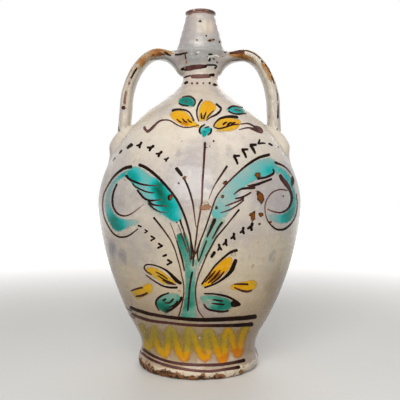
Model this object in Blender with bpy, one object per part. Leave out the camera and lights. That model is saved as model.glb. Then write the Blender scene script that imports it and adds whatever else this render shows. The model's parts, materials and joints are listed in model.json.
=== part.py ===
# Two-handled water jug, built the way a potter builds one: five sections thrown on the
# wheel and luted together with V-shaped tongue and groove rims, then two pulled strap
# handles that seat on the collar and on thumbed pads of clay on the shoulder.
# Lengths are in metres. The jug stands on z = 0 with its axis on Z and its handles on X.

import math

import bmesh
import bpy
from mathutils import Vector

# Heights of the outline, stacked from the ground up
FLANGE_RISE = 0.009
FOOT_WAIST_RISE = 0.015
FOOT_FLARE_RISE = 0.031
LOWER_BELLY_RISE = 0.150
UPPER_BELLY_RISE = 0.121
NECK_RISE = 0.039
COLLAR_RISE = 0.033
SPOUT_RISE = 0.052

# Radii of the outline, and how far its steps stand out
FOOT_WAIST_RADIUS = 0.0724
FLANGE_OVERHANG = 0.0041
BASE_UNDERCUT = 0.0045
FOOT_FLARE_WIDTH = 0.0116
BELLY_RADIUS = 0.1285
SHOULDER_RADIUS = 0.0610
NECK_RADIUS = 0.0223
SPOUT_FOOT_RADIUS = 0.0296
LEDGE_WIDTH = 0.0016
LEDGE_ROUNDING = 0.0024
SPOUT_TOP_RADIUS = 0.0184
LIP_OVERHANG = 0.0015
LIP_HEIGHT = 0.0065

# Slopes of the outline where its curves meet, and how far they run on before they bend
FLARE_SLOPE = 0.59
FLARE_RUN = 0.0110
BELLY_RUN = 0.0340
BELLY_FULLNESS_BELOW = 0.0470
BELLY_FULLNESS_ABOVE = 0.0430
SHOULDER_SLOPE = 0.80
SHOULDER_RUN = 0.0310
NECK_RUN = 0.0195
NECK_FULLNESS = 0.0116
COLLAR_FULLNESS = 0.0140
SPOUT_FULLNESS = 0.0120

# Walls and floor
FLOOR_THICKNESS = 0.012
FOOT_WALL = 0.0100
BELLY_WALL = 0.0070
NECK_WALL = 0.0060
SPOUT_FOOT_WALL = 0.0062
LIP_WALL = 0.0052

# Where the thrown sections are luted, measured along the height
FOOT_SEAM_ABOVE_WAIST = 0.010
NECK_SEAM_BELOW_WAIST = 0.011
TONGUE_DEPTH = 0.0030
SEAT_CLEARANCE = 0.0003

# Strap handles, the same on both sides but for the line of their bow
STRAP_WIDTH = 0.0300
STRAP_THICKNESS = 0.0136
STRAP_RIDGE = 0.0014
ROOT_WIDTH = 0.0340
ROOT_THICKNESS = 0.0330
ROOT_FILLET = 0.0200
ROOT_BELOW_LEDGE = 0.0155
ROOT_RUN = 0.0100
CROWN_RUN = 0.0120
SIDE_LEAN = 0.05
TAIL_RUN = 0.0150
TAIL_LEAN = 0.20
TAIL_SPREAD = 0.0020
TAIL_SINK = 0.0120
LEFT_CROWN_REACH = 0.0530
LEFT_CROWN_DROP = 0.0020
LEFT_SIDE_REACH = 0.0945
LEFT_SIDE_DROP = 0.0640
LEFT_BOW_SPREAD = 0.0200
LEFT_BOW_RISE = 0.0300
LEFT_LANDING_RADIUS = 0.0975
RIGHT_CROWN_REACH = 0.0560
RIGHT_CROWN_DROP = 0.0034
RIGHT_SIDE_REACH = 0.0935
RIGHT_SIDE_DROP = 0.0620
RIGHT_BOW_SPREAD = 0.0215
RIGHT_BOW_RISE = 0.0270
RIGHT_LANDING_RADIUS = 0.0955

# Pads of clay that carry the lower ends of the handles, thickest near their lower end
PAD_HEIGHT = 0.0125
PAD_HALF_WIDTH = 0.0205
PAD_ABOVE_LANDING = 0.0240
PAD_BELOW_LANDING = 0.0260
PAD_ROOT_DEPTH = 0.0050
PAD_LEAN = 1.6

# Fineness of the faceted surfaces
TURN_STEPS = 48
OUTLINE_STEPS = 48
STRAP_SIDES = 16
STRAP_STATIONS = 8
PAD_SIDES = 12
PAD_STATIONS = 12
SEAT_STATIONS = 60

# Heights above the ground that follow from the rises
FOOT_WAIST_Z = FLANGE_RISE + FOOT_WAIST_RISE
FOOT_FLARE_Z = FOOT_WAIST_Z + FOOT_FLARE_RISE
BELLY_Z = FOOT_FLARE_Z + LOWER_BELLY_RISE
SHOULDER_Z = BELLY_Z + UPPER_BELLY_RISE
NECK_Z = SHOULDER_Z + NECK_RISE
LEDGE_Z = NECK_Z + COLLAR_RISE
TOP_Z = LEDGE_Z + SPOUT_RISE

# Radii that follow from the others
FLANGE_RADIUS = FOOT_WAIST_RADIUS + FLANGE_OVERHANG
BASE_RADIUS = FLANGE_RADIUS - BASE_UNDERCUT
FOOT_FLARE_RADIUS = FOOT_WAIST_RADIUS + FOOT_FLARE_WIDTH
COLLAR_RADIUS = SPOUT_FOOT_RADIUS + LEDGE_WIDTH
LIP_RADIUS = SPOUT_TOP_RADIUS + LIP_OVERHANG


def clear_scene():
    for item in list(bpy.data.objects):
        bpy.data.objects.remove(item, do_unlink=True)


def glaze(name, colour, roughness):
    material = bpy.data.materials.new(name)
    material.use_nodes = True
    shader = material.node_tree.nodes["Principled BSDF"]
    shader.inputs["Base Color"].default_value = (*colour, 1.0)
    shader.inputs["Roughness"].default_value = roughness
    shader.inputs["Metallic"].default_value = 0.0
    material.diffuse_color = (*colour, 1.0)
    return material


def bezier(start, pull, push, end, steps):
    # Points of a cubic curve, without its first point, so that curves can be chained
    points = []
    for step in range(1, steps + 1):
        t = step / steps
        u = 1.0 - t
        weights = (u * u * u, 3 * u * u * t, 3 * u * t * t, t * t * t)
        corners = (start, pull, push, end)
        point = [sum(w * c[axis] for w, c in zip(weights, corners)) for axis in range(len(start))]
        points.append(tuple(point))
    return points


def body_outline(steps):
    # Outer line of the wall, radius and height, from the foot's waist to the ledge
    waist = (FOOT_WAIST_RADIUS, FOOT_WAIST_Z)
    flare = (FOOT_FLARE_RADIUS, FOOT_FLARE_Z)
    belly = (BELLY_RADIUS, BELLY_Z)
    shoulder = (SHOULDER_RADIUS, SHOULDER_Z)
    neck = (NECK_RADIUS, NECK_Z)
    ledge = (COLLAR_RADIUS, LEDGE_Z)
    line = [waist]
    line += bezier(
        waist,
        (FOOT_WAIST_RADIUS, FOOT_WAIST_Z + FLARE_RUN),
        (FOOT_FLARE_RADIUS - FLARE_RUN * FLARE_SLOPE, FOOT_FLARE_Z - FLARE_RUN),
        flare,
        steps,
    )
    line += bezier(
        flare,
        (FOOT_FLARE_RADIUS + BELLY_RUN * FLARE_SLOPE, FOOT_FLARE_Z + BELLY_RUN),
        (BELLY_RADIUS, BELLY_Z - BELLY_FULLNESS_BELOW),
        belly,
        steps,
    )
    line += bezier(
        belly,
        (BELLY_RADIUS, BELLY_Z + BELLY_FULLNESS_ABOVE),
        (SHOULDER_RADIUS + SHOULDER_RUN, SHOULDER_Z - SHOULDER_RUN * SHOULDER_SLOPE),
        shoulder,
        steps,
    )
    line += bezier(
        shoulder,
        (SHOULDER_RADIUS - NECK_RUN, SHOULDER_Z + NECK_RUN * SHOULDER_SLOPE),
        (NECK_RADIUS, NECK_Z - NECK_FULLNESS),
        neck,
        steps,
    )
    line += bezier(
        neck,
        (NECK_RADIUS, NECK_Z + COLLAR_FULLNESS),
        (COLLAR_RADIUS - 0.2 * (COLLAR_RADIUS - NECK_RADIUS), LEDGE_Z - 0.4 * COLLAR_RISE),
        ledge,
        steps,
    )
    return line


def wall_at(height):
    # Thickness of the wall, which thins from the foot to the neck
    knots = [
        (0.0, FOOT_WALL),
        (FOOT_WAIST_Z, FOOT_WALL),
        (BELLY_Z, BELLY_WALL),
        (NECK_Z, NECK_WALL),
        (LEDGE_Z, SPOUT_FOOT_WALL),
        (TOP_Z, LIP_WALL),
    ]
    for (low, thin), (high, thick) in zip(knots, knots[1:]):
        if height <= high:
            share = (height - low) / (high - low)
            return thin + (thick - thin) * share
    return LIP_WALL


def offset_line(line, distance_at):
    # The line moved sideways: a positive distance moves it away from the axis
    moved = []
    for index, (radius, height) in enumerate(line):
        before = line[max(index - 1, 0)]
        after = line[min(index + 1, len(line) - 1)]
        along = Vector((after[0] - before[0], after[1] - before[1])).normalized()
        distance = distance_at(height)
        moved.append((radius + along.y * distance, height - along.x * distance))
    return moved


def radius_on(line, height):
    # Radius where a rising line crosses a height
    for (r_low, z_low), (r_high, z_high) in zip(line, line[1:]):
        if z_low <= height <= z_high and z_high > z_low:
            share = (height - z_low) / (z_high - z_low)
            return r_low + (r_high - r_low) * share
    return line[0][0] if height < line[0][1] else line[-1][0]


def stretch(line, low, high, count):
    # Evenly spaced points of a rising line between two heights, ends included
    inside = [point for point in line if low < point[1] < high]
    points = [(radius_on(line, low), low), *inside, (radius_on(line, high), high)]
    lengths = [0.0]
    for first, second in zip(points, points[1:]):
        lengths.append(lengths[-1] + math.dist(first, second))
    chosen = []
    for step in range(count):
        target = lengths[-1] * step / (count - 1)
        index = max(i for i, length in enumerate(lengths) if length <= target + 1e-12)
        index = min(index, len(points) - 2)
        span = lengths[index + 1] - lengths[index]
        share = (target - lengths[index]) / span if span else 0.0
        first, second = points[index], points[index + 1]
        chosen.append(tuple(a + (b - a) * share for a, b in zip(first, second)))
    return chosen


def seam_gap(width):
    # Upright gap that leaves the seat clearance square to a tongue's slanted sides
    slant = TONGUE_DEPTH / (width / 2)
    return SEAT_CLEARANCE * math.hypot(1.0, slant)


def groove(outer, inner, height):
    # Rim of the lower section, from outside to inside, with a V-shaped groove
    r_out, r_in = radius_on(outer, height), radius_on(inner, height)
    return [(r_out, height), ((r_out + r_in) / 2, height - TONGUE_DEPTH), (r_in, height)]


def tongue(outer, inner, height):
    # Rim of the upper section, from inside to outside, that fills the groove below it
    width = radius_on(outer, height) - radius_on(inner, height)
    start = height + seam_gap(width)
    r_out, r_in = radius_on(outer, start), radius_on(inner, start)
    middle = (radius_on(outer, height) + radius_on(inner, height)) / 2
    return [(r_in, start), (middle, start - TONGUE_DEPTH), (r_out, start)]


def new_object(name, bm, material):
    bmesh.ops.recalc_face_normals(bm, faces=bm.faces)
    mesh = bpy.data.meshes.new(name)
    bm.to_mesh(mesh)
    bm.free()
    mesh.materials.append(material)
    mesh.shade_smooth()
    mesh.set_sharp_from_angle(angle=math.radians(40))
    item = bpy.data.objects.new(name, mesh)
    bpy.context.scene.collection.objects.link(item)
    return item


def turned(name, profile, material, through_axis=False):
    # A profile in radius and height, spun once round the axis. It is a closed loop, or an
    # open line whose two ends lie on the axis.
    bm = bmesh.new()
    verts = [bm.verts.new((radius, 0.0, height)) for radius, height in profile]
    following = verts[1:] if through_axis else verts[1:] + verts[:1]
    edges = [bm.edges.new(pair) for pair in zip(verts, following)]
    bmesh.ops.spin(
        bm,
        geom=verts + edges,
        cent=(0.0, 0.0, 0.0),
        axis=(0.0, 0.0, 1.0),
        angle=math.tau,
        steps=TURN_STEPS,
        use_merge=True,
    )
    bmesh.ops.remove_doubles(bm, verts=bm.verts, dist=1e-6)
    return new_object(name, bm, material)


def lofted(name, rings, material):
    # Rings of equal count joined in order, with both ends capped
    bm = bmesh.new()
    loops = [[bm.verts.new(point) for point in ring] for ring in rings]
    for near, far in zip(loops, loops[1:]):
        for index in range(len(near)):
            after = (index + 1) % len(near)
            bm.faces.new((near[index], near[after], far[after], far[index]))
    bm.faces.new(loops[0])
    bm.faces.new(loops[-1])
    return new_object(name, bm, material)


def flange_line(steps):
    # Outer line of the foot, from the ground to its waist
    widest = (FLANGE_RADIUS, FLANGE_RISE)
    line = [(BASE_RADIUS, 0.0)]
    line += bezier(
        line[0],
        ((BASE_RADIUS + FLANGE_RADIUS) / 2, 0.0),
        (FLANGE_RADIUS, FLANGE_RISE * 0.4),
        widest,
        steps,
    )
    line += bezier(
        widest,
        (FLANGE_RADIUS, FLANGE_RISE + FOOT_WAIST_RISE * 0.45),
        (FOOT_WAIST_RADIUS, FOOT_WAIST_Z - FOOT_WAIST_RISE * 0.45),
        (FOOT_WAIST_RADIUS, FOOT_WAIST_Z),
        steps + 1,
    )
    return line


def make_foot(outer, inner, seam, material):
    flange = flange_line(4)
    above = stretch(outer, FOOT_WAIST_Z, seam, 3)[1:]
    rim = groove(outer, inner, seam)
    floor_corner = [
        (FOOT_WAIST_RADIUS - FOOT_WALL, FOOT_WAIST_Z),
        (FOOT_WAIST_RADIUS - FOOT_WALL * 1.15, FLOOR_THICKNESS + FOOT_WALL * 0.35),
        (FOOT_WAIST_RADIUS - FOOT_WALL * 1.9, FLOOR_THICKNESS),
        (0.0, FLOOR_THICKNESS),
    ]
    line = [(0.0, 0.0), *flange, *above[:-1], *rim, *floor_corner]
    return turned("foot", line, material, through_axis=True)


def make_section(name, outer, inner, low, high, counts, material):
    outside = stretch(outer, low, high, counts[0])
    inside = stretch(inner, low, high, counts[1])
    profile = tongue(outer, inner, low)
    profile += outside[1:-1]
    profile += groove(outer, inner, high)
    profile += list(reversed(inside[1:-1]))
    return turned(name, profile, material)


def spout_outline(steps):
    # Outer line of the spout, from the ledge up to the rolled lip
    lip_z = TOP_Z - LIP_HEIGHT
    foot = (SPOUT_FOOT_RADIUS, LEDGE_Z)
    top = (SPOUT_TOP_RADIUS, lip_z)
    taper = SPOUT_FOOT_RADIUS - SPOUT_TOP_RADIUS
    return [foot] + bezier(
        foot,
        (SPOUT_FOOT_RADIUS - 0.05 * taper, LEDGE_Z + SPOUT_FULLNESS),
        (SPOUT_TOP_RADIUS + 0.19 * taper, lip_z - SPOUT_FULLNESS),
        top,
        steps,
    )


def lip_line():
    # The lip's bead, from its underside over the top into the bore
    bead = LIP_HEIGHT / 2
    inside = SPOUT_TOP_RADIUS - LIP_WALL
    crest = (LIP_RADIUS + inside) / 2
    return [
        (LIP_RADIUS, TOP_Z - bead * 1.25),
        (LIP_RADIUS, TOP_Z - bead * 0.45),
        ((LIP_RADIUS + crest) / 2 + 0.0006, TOP_Z - bead * 0.05),
        (crest, TOP_Z),
        ((inside + crest) / 2 - 0.0004, TOP_Z - bead * 0.12),
        (inside, TOP_Z - bead * 0.8),
    ]


def make_spout(material):
    outer = spout_outline(8)
    inner = offset_line(outer, lambda height: -wall_at(height))
    inner[0] = (SPOUT_FOOT_RADIUS - SPOUT_FOOT_WALL, LEDGE_Z)
    inner[-1] = (SPOUT_TOP_RADIUS - LIP_WALL, TOP_Z - LIP_HEIGHT)
    profile = tongue(outer, inner, LEDGE_Z)
    profile += outer[1:]
    profile += lip_line()
    profile += list(reversed(stretch(inner, LEDGE_Z, TOP_Z - LIP_HEIGHT, 5)[1:]))
    return turned("spout", profile, material)


def make_collar(outer, inner, seam, material):
    # The flare above the neck's waist, with the ledge that carries the spout
    flare = stretch(outer, seam, LEDGE_Z - LEDGE_ROUNDING, 9)
    bore_radius = SPOUT_FOOT_RADIUS - SPOUT_FOOT_WALL
    groove_radius = SPOUT_FOOT_RADIUS - SPOUT_FOOT_WALL / 2
    profile = tongue(outer, inner, seam)
    profile += flare[1:]
    profile.append((COLLAR_RADIUS - LEDGE_ROUNDING * 0.1, LEDGE_Z - LEDGE_ROUNDING * 0.35))
    profile.append((COLLAR_RADIUS - LEDGE_ROUNDING * 0.4, LEDGE_Z))
    profile.append((SPOUT_FOOT_RADIUS, LEDGE_Z))
    profile.append((groove_radius, LEDGE_Z - TONGUE_DEPTH))
    profile.append((bore_radius, LEDGE_Z))
    bore = stretch(inner, seam, LEDGE_Z, 7)
    profile += list(reversed(bore[1:-1]))
    return turned("neck_collar", profile, material)


def body_seat(outer, material):
    # The jug's outer form grown by the seat clearance, which cuts handles and pads to fit
    line = flange_line(4)[:-1]
    line += stretch(outer, FOOT_WAIST_Z, LEDGE_Z - LEDGE_ROUNDING, SEAT_STATIONS)
    line.append((COLLAR_RADIUS, LEDGE_Z - LEDGE_ROUNDING * 0.35))
    line.append((SPOUT_FOOT_RADIUS + LEDGE_WIDTH * 0.4, LEDGE_Z + SEAT_CLEARANCE))
    line += spout_outline(8)[1:]
    grown = offset_line(line, lambda height: SEAT_CLEARANCE)
    closed = [(0.0, -SEAT_CLEARANCE), (BASE_RADIUS, -SEAT_CLEARANCE), *grown, (0.0, TOP_Z)]
    return as_cutter(turned("body_seat", closed, material, through_axis=True))


def as_cutter(item):
    item.hide_render = True
    item.display_type = "WIRE"
    return item


def strap_section(width, thickness, ridge):
    # Rounded strap, seen along its length: across, then outwards, with a raised middle line
    points = []
    for step in range(STRAP_SIDES):
        angle = math.tau * step / STRAP_SIDES
        across = math.copysign(abs(math.cos(angle)) ** 0.75, math.cos(angle)) * width / 2
        outward = math.copysign(abs(math.sin(angle)) ** 0.85, math.sin(angle)) * thickness / 2
        if math.sin(angle) > 0:
            outward += ridge * math.cos(4 * math.pi * across / width) * math.sin(angle)
        points.append((across, outward))
    return points


def landing_height(outer, radius):
    # Height at which the shoulder, above the belly, has this radius
    above = [point for point in outer if BELLY_Z <= point[1] <= NECK_Z]
    for (r_low, z_low), (r_high, z_high) in zip(above, above[1:]):
        if r_high <= radius <= r_low:
            return z_low + (z_high - z_low) * (r_low - radius) / (r_low - r_high)
    return BELLY_Z


def handle_route(outer, crown, side_reach, side_drop, bow_spread, bow_rise, landing_radius):
    # Centre line of a handle in the plane of X and Z, from inside the collar to the shoulder
    root = (NECK_RADIUS * 0.8, LEDGE_Z - ROOT_BELOW_LEDGE)
    side = (side_reach, crown[1] - side_drop)
    tail = (landing_radius + TAIL_SPREAD, landing_height(outer, landing_radius) - TAIL_SINK)
    route = [root]
    route += bezier(root, (root[0] + ROOT_RUN, root[1] + ROOT_RUN * 0.15),
                    (crown[0] - CROWN_RUN, crown[1]), crown, STRAP_STATIONS)
    route += bezier(crown, (crown[0] + bow_spread, crown[1]),
                    (side[0] - SIDE_LEAN * bow_rise, side[1] + bow_rise), side, STRAP_STATIONS)
    route += bezier(side, (side[0] + SIDE_LEAN * TAIL_RUN, side[1] - TAIL_RUN),
                    (tail[0] - TAIL_LEAN * TAIL_RUN, tail[1] + TAIL_RUN), tail, STRAP_STATIONS)
    return route


def strap_sizes(reach):
    # Width and thickness of the strap, which swells where it joins the collar
    beyond = (reach - NECK_RADIUS) / ROOT_FILLET
    root = min(1.0, max(0.0, 1.0 - beyond) ** 2)
    width = STRAP_WIDTH + (ROOT_WIDTH - STRAP_WIDTH) * root
    thickness = STRAP_THICKNESS + (ROOT_THICKNESS - STRAP_THICKNESS) * root
    return width, thickness


def make_handle(name, side, route, material):
    rings = []
    for index, (reach, height) in enumerate(route):
        before = route[max(index - 1, 0)]
        after = route[min(index + 1, len(route) - 1)]
        along = Vector((after[0] - before[0], after[1] - before[1])).normalized()
        outward = Vector((-along.y, along.x))
        width, thickness = strap_sizes(reach)
        ring = []
        for across, out in strap_section(width, thickness, STRAP_RIDGE):
            x = reach + outward.x * out
            z = height + outward.y * out
            ring.append((side * x, across, z))
        rings.append(ring)
    return lofted(name, rings, material)


def pad_breadth(share):
    # Share of the pad's full width: blunt under the strap and rounded at the lower end
    away = abs(2.0 * share - 0.9) / 1.2
    return max(0.15, 1.0 - away ** 3)


def make_pad(name, side, outer, landing_radius, grow, material):
    # Thumbed pad: a row of low arches that runs down the shoulder's slope
    landing_z = landing_height(outer, landing_radius)
    path = stretch(outer, landing_z - PAD_BELOW_LANDING, landing_z + PAD_ABOVE_LANDING, PAD_STATIONS)
    path.reverse()
    rings = []
    for index, (radius, height) in enumerate(path):
        before = path[max(index - 1, 0)]
        after = path[min(index + 1, len(path) - 1)]
        along = Vector((after[0] - before[0], after[1] - before[1])).normalized()
        normal = Vector((-along.y, along.x))
        share = index / (len(path) - 1)
        swell = math.sin(math.pi * (0.03 + 0.94 * share ** PAD_LEAN))
        rise = PAD_HEIGHT * swell + grow
        half = PAD_HALF_WIDTH * pad_breadth(share) + grow
        ring = []
        for step in range(PAD_SIDES + 1):
            angle = math.pi * step / PAD_SIDES
            across = half * math.cos(angle)
            lift = rise * math.sin(angle) ** 0.9 if 0 < step < PAD_SIDES else 0.0
            # The ground falls away beside the meridian, so the arch follows the round wall
            around = across / radius
            reach = radius * math.cos(around) + normal.x * lift
            ring.append((side * reach, radius * math.sin(around), height + normal.y * lift))
        for across in (-half * 0.8, half * 0.8):
            around = across / radius
            reach = (radius - PAD_ROOT_DEPTH) * math.cos(around) - normal.x * grow
            ring.append((side * reach, radius * math.sin(around), height - PAD_ROOT_DEPTH))
        rings.append(ring)
    return lofted(name, rings, material)


def cut_by(item, cutter, name):
    cut = item.modifiers.new(name, "BOOLEAN")
    cut.operation = "DIFFERENCE"
    cut.solver = "EXACT"
    cut.object = cutter


def build_body(outer, inner):
    foot_seam = FOOT_WAIST_Z + FOOT_SEAM_ABOVE_WAIST
    neck_seam = NECK_Z - NECK_SEAM_BELOW_WAIST
    make_foot(outer, inner, foot_seam, glaze("foot_glaze", (0.66, 0.60, 0.50), 0.32))
    make_section("lower_belly", outer, inner, foot_seam, BELLY_Z, (13, 10),
                 glaze("lower_belly_glaze", (0.62, 0.57, 0.50), 0.28))
    make_section("upper_belly", outer, inner, BELLY_Z, neck_seam, (16, 12),
                 glaze("upper_belly_glaze", (0.70, 0.65, 0.56), 0.28))
    make_collar(outer, inner, neck_seam, glaze("collar_glaze", (0.55, 0.52, 0.50), 0.30))
    make_spout(glaze("spout_glaze", (0.50, 0.47, 0.46), 0.30))


def build_handles(outer):
    seat_material = glaze("seat_guide", (0.5, 0.5, 0.5), 0.5)
    seat = body_seat(outer, seat_material)
    bows = {
        "left": (-1, (LEFT_CROWN_REACH, LEDGE_Z - LEFT_CROWN_DROP), LEFT_SIDE_REACH, LEFT_SIDE_DROP,
                 LEFT_BOW_SPREAD, LEFT_BOW_RISE, LEFT_LANDING_RADIUS),
        "right": (1, (RIGHT_CROWN_REACH, LEDGE_Z - RIGHT_CROWN_DROP), RIGHT_SIDE_REACH,
                  RIGHT_SIDE_DROP, RIGHT_BOW_SPREAD, RIGHT_BOW_RISE, RIGHT_LANDING_RADIUS),
    }
    for word, (side, *bow) in bows.items():
        landing_radius = bow[-1]
        pad = make_pad(f"{word}_handle_pad", side, outer, landing_radius, 0.0,
                       glaze(f"{word}_pad_glaze", (0.48, 0.40, 0.30), 0.35))
        pad_seat = as_cutter(make_pad(f"{word}_pad_seat", side, outer, landing_radius,
                                      SEAT_CLEARANCE, seat_material))
        handle = make_handle(f"{word}_handle", side, handle_route(outer, *bow),
                             glaze(f"{word}_handle_glaze", (0.60, 0.52, 0.42), 0.30))
        cut_by(pad, seat, "seat on the shoulder")
        cut_by(handle, seat, "seat on collar and shoulder")
        cut_by(handle, pad_seat, "seat on the pad")


def main():
    clear_scene()
    outer = body_outline(OUTLINE_STEPS)
    inner = offset_line(outer, lambda height: -wall_at(height))
    build_body(outer, inner)
    build_handles(outer)


main()
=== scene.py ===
# Two-handled water jug: the fired, tin-glazed and brush-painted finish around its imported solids.
# Metres everywhere, unless a name says mm, px or degrees. Pixels are those of the 400 by 400 photo frame.

import json
import math

import bmesh
import bpy
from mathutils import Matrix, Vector

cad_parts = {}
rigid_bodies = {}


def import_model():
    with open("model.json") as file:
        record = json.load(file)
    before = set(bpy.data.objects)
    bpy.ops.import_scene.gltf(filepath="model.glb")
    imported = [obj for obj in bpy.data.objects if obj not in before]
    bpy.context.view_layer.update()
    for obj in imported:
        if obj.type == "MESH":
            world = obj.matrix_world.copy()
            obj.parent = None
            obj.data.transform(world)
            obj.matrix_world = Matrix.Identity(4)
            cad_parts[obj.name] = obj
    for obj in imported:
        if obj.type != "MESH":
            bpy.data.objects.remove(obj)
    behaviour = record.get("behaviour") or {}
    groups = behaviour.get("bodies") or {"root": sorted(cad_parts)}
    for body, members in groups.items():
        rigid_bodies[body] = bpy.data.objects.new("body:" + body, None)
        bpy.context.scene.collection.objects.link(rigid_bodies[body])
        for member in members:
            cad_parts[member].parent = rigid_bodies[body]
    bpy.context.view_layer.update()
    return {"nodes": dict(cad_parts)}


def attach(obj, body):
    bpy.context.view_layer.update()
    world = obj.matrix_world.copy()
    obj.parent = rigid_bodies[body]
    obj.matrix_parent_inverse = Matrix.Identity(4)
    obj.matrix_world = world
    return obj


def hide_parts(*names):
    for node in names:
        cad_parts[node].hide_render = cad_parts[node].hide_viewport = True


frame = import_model()
print("frame loaded:", ", ".join(sorted(frame["nodes"])))


# Camera of the photo, and what a photo pixel means in the plane of the jug's axis

photoView = {
    "framePx": 400,
    "focalPx": 593.0,
    "distance": 0.763,  # from the jug's axis
    "height": 0.223,
    "horizonRowPx": 188.8,
    "axisColumnPx": 199.5,
    "sensorMm": 36.0,
    "clipStart": 0.01,
}
eye = Vector((0.0, -photoView["distance"], photoView["height"]))
pxSize = photoView["distance"] / photoView["focalPx"]


def fromPhoto(x, y):  # a photo pixel as a point of the upright plane through the jug's axis
    across = (x - photoView["axisColumnPx"]) * pxSize
    up = photoView["height"] + (photoView["horizonRowPx"] - y) * pxSize
    return Vector((across, 0.0, up))


def addToScene(name, data):
    item = bpy.data.objects.new(name, data)
    bpy.context.scene.collection.objects.link(item)
    return item


def makeCamera():
    lens = bpy.data.cameras.new("photoCamera")
    lens.sensor_width = photoView["sensorMm"]
    lens.lens = lens.sensor_width * photoView["focalPx"] / photoView["framePx"]
    middle = photoView["framePx"] / 2
    lens.shift_x = (middle - photoView["axisColumnPx"]) / photoView["framePx"]
    lens.shift_y = (photoView["horizonRowPx"] - middle) / photoView["framePx"]
    lens.clip_start = photoView["clipStart"]
    camera = addToScene("photoCamera", lens)
    camera.location = eye
    camera.rotation_euler = (math.radians(90), 0.0, 0.0)
    bpy.context.scene.camera = camera


makeCamera()
print("camera placed")


# Node trees: a wire is one node output, and sums and products of wires add their own nodes

class Wire:
    def __init__(self, board, socket):
        self.board = board
        self.socket = socket

    def math(self, operation, *others, swapped=False):
        terms = [self, *others]
        if swapped:
            terms.reverse()
        return self.board.add("ShaderNodeMath", {"operation": operation}, dict(enumerate(terms)))

    def __add__(self, other):
        return self.math("ADD", other)

    def __sub__(self, other):
        return self.math("SUBTRACT", other)

    def __rsub__(self, other):
        return self.math("SUBTRACT", other, swapped=True)

    def __mul__(self, other):
        return self.math("MULTIPLY", other)

    def __truediv__(self, other):
        return self.math("DIVIDE", other)

    def __pow__(self, other):
        return self.math("POWER", other)

    __radd__ = __add__
    __rmul__ = __mul__

    def sine(self):
        return self.math("SINE")

    def cosine(self):
        return self.math("COSINE")

    def size(self):
        return self.math("ABSOLUTE")

    def least(self, other):
        return self.math("MINIMUM", other)

    def most(self, other):
        return self.math("MAXIMUM", other)

    def held(self):  # between 0 and 1
        return self.most(0.0).least(1.0)

    def step(self, low, high):  # 0 below low, 1 above high
        return self.board.add("ShaderNodeMapRange", {"interpolation_type": "SMOOTHSTEP"},
                              {0: self, 1: low, 2: high, 3: 0.0, 4: 1.0})

    def out(self, name):  # another output of the same node
        return Wire(self.board, self.socket.node.outputs[name])


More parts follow.
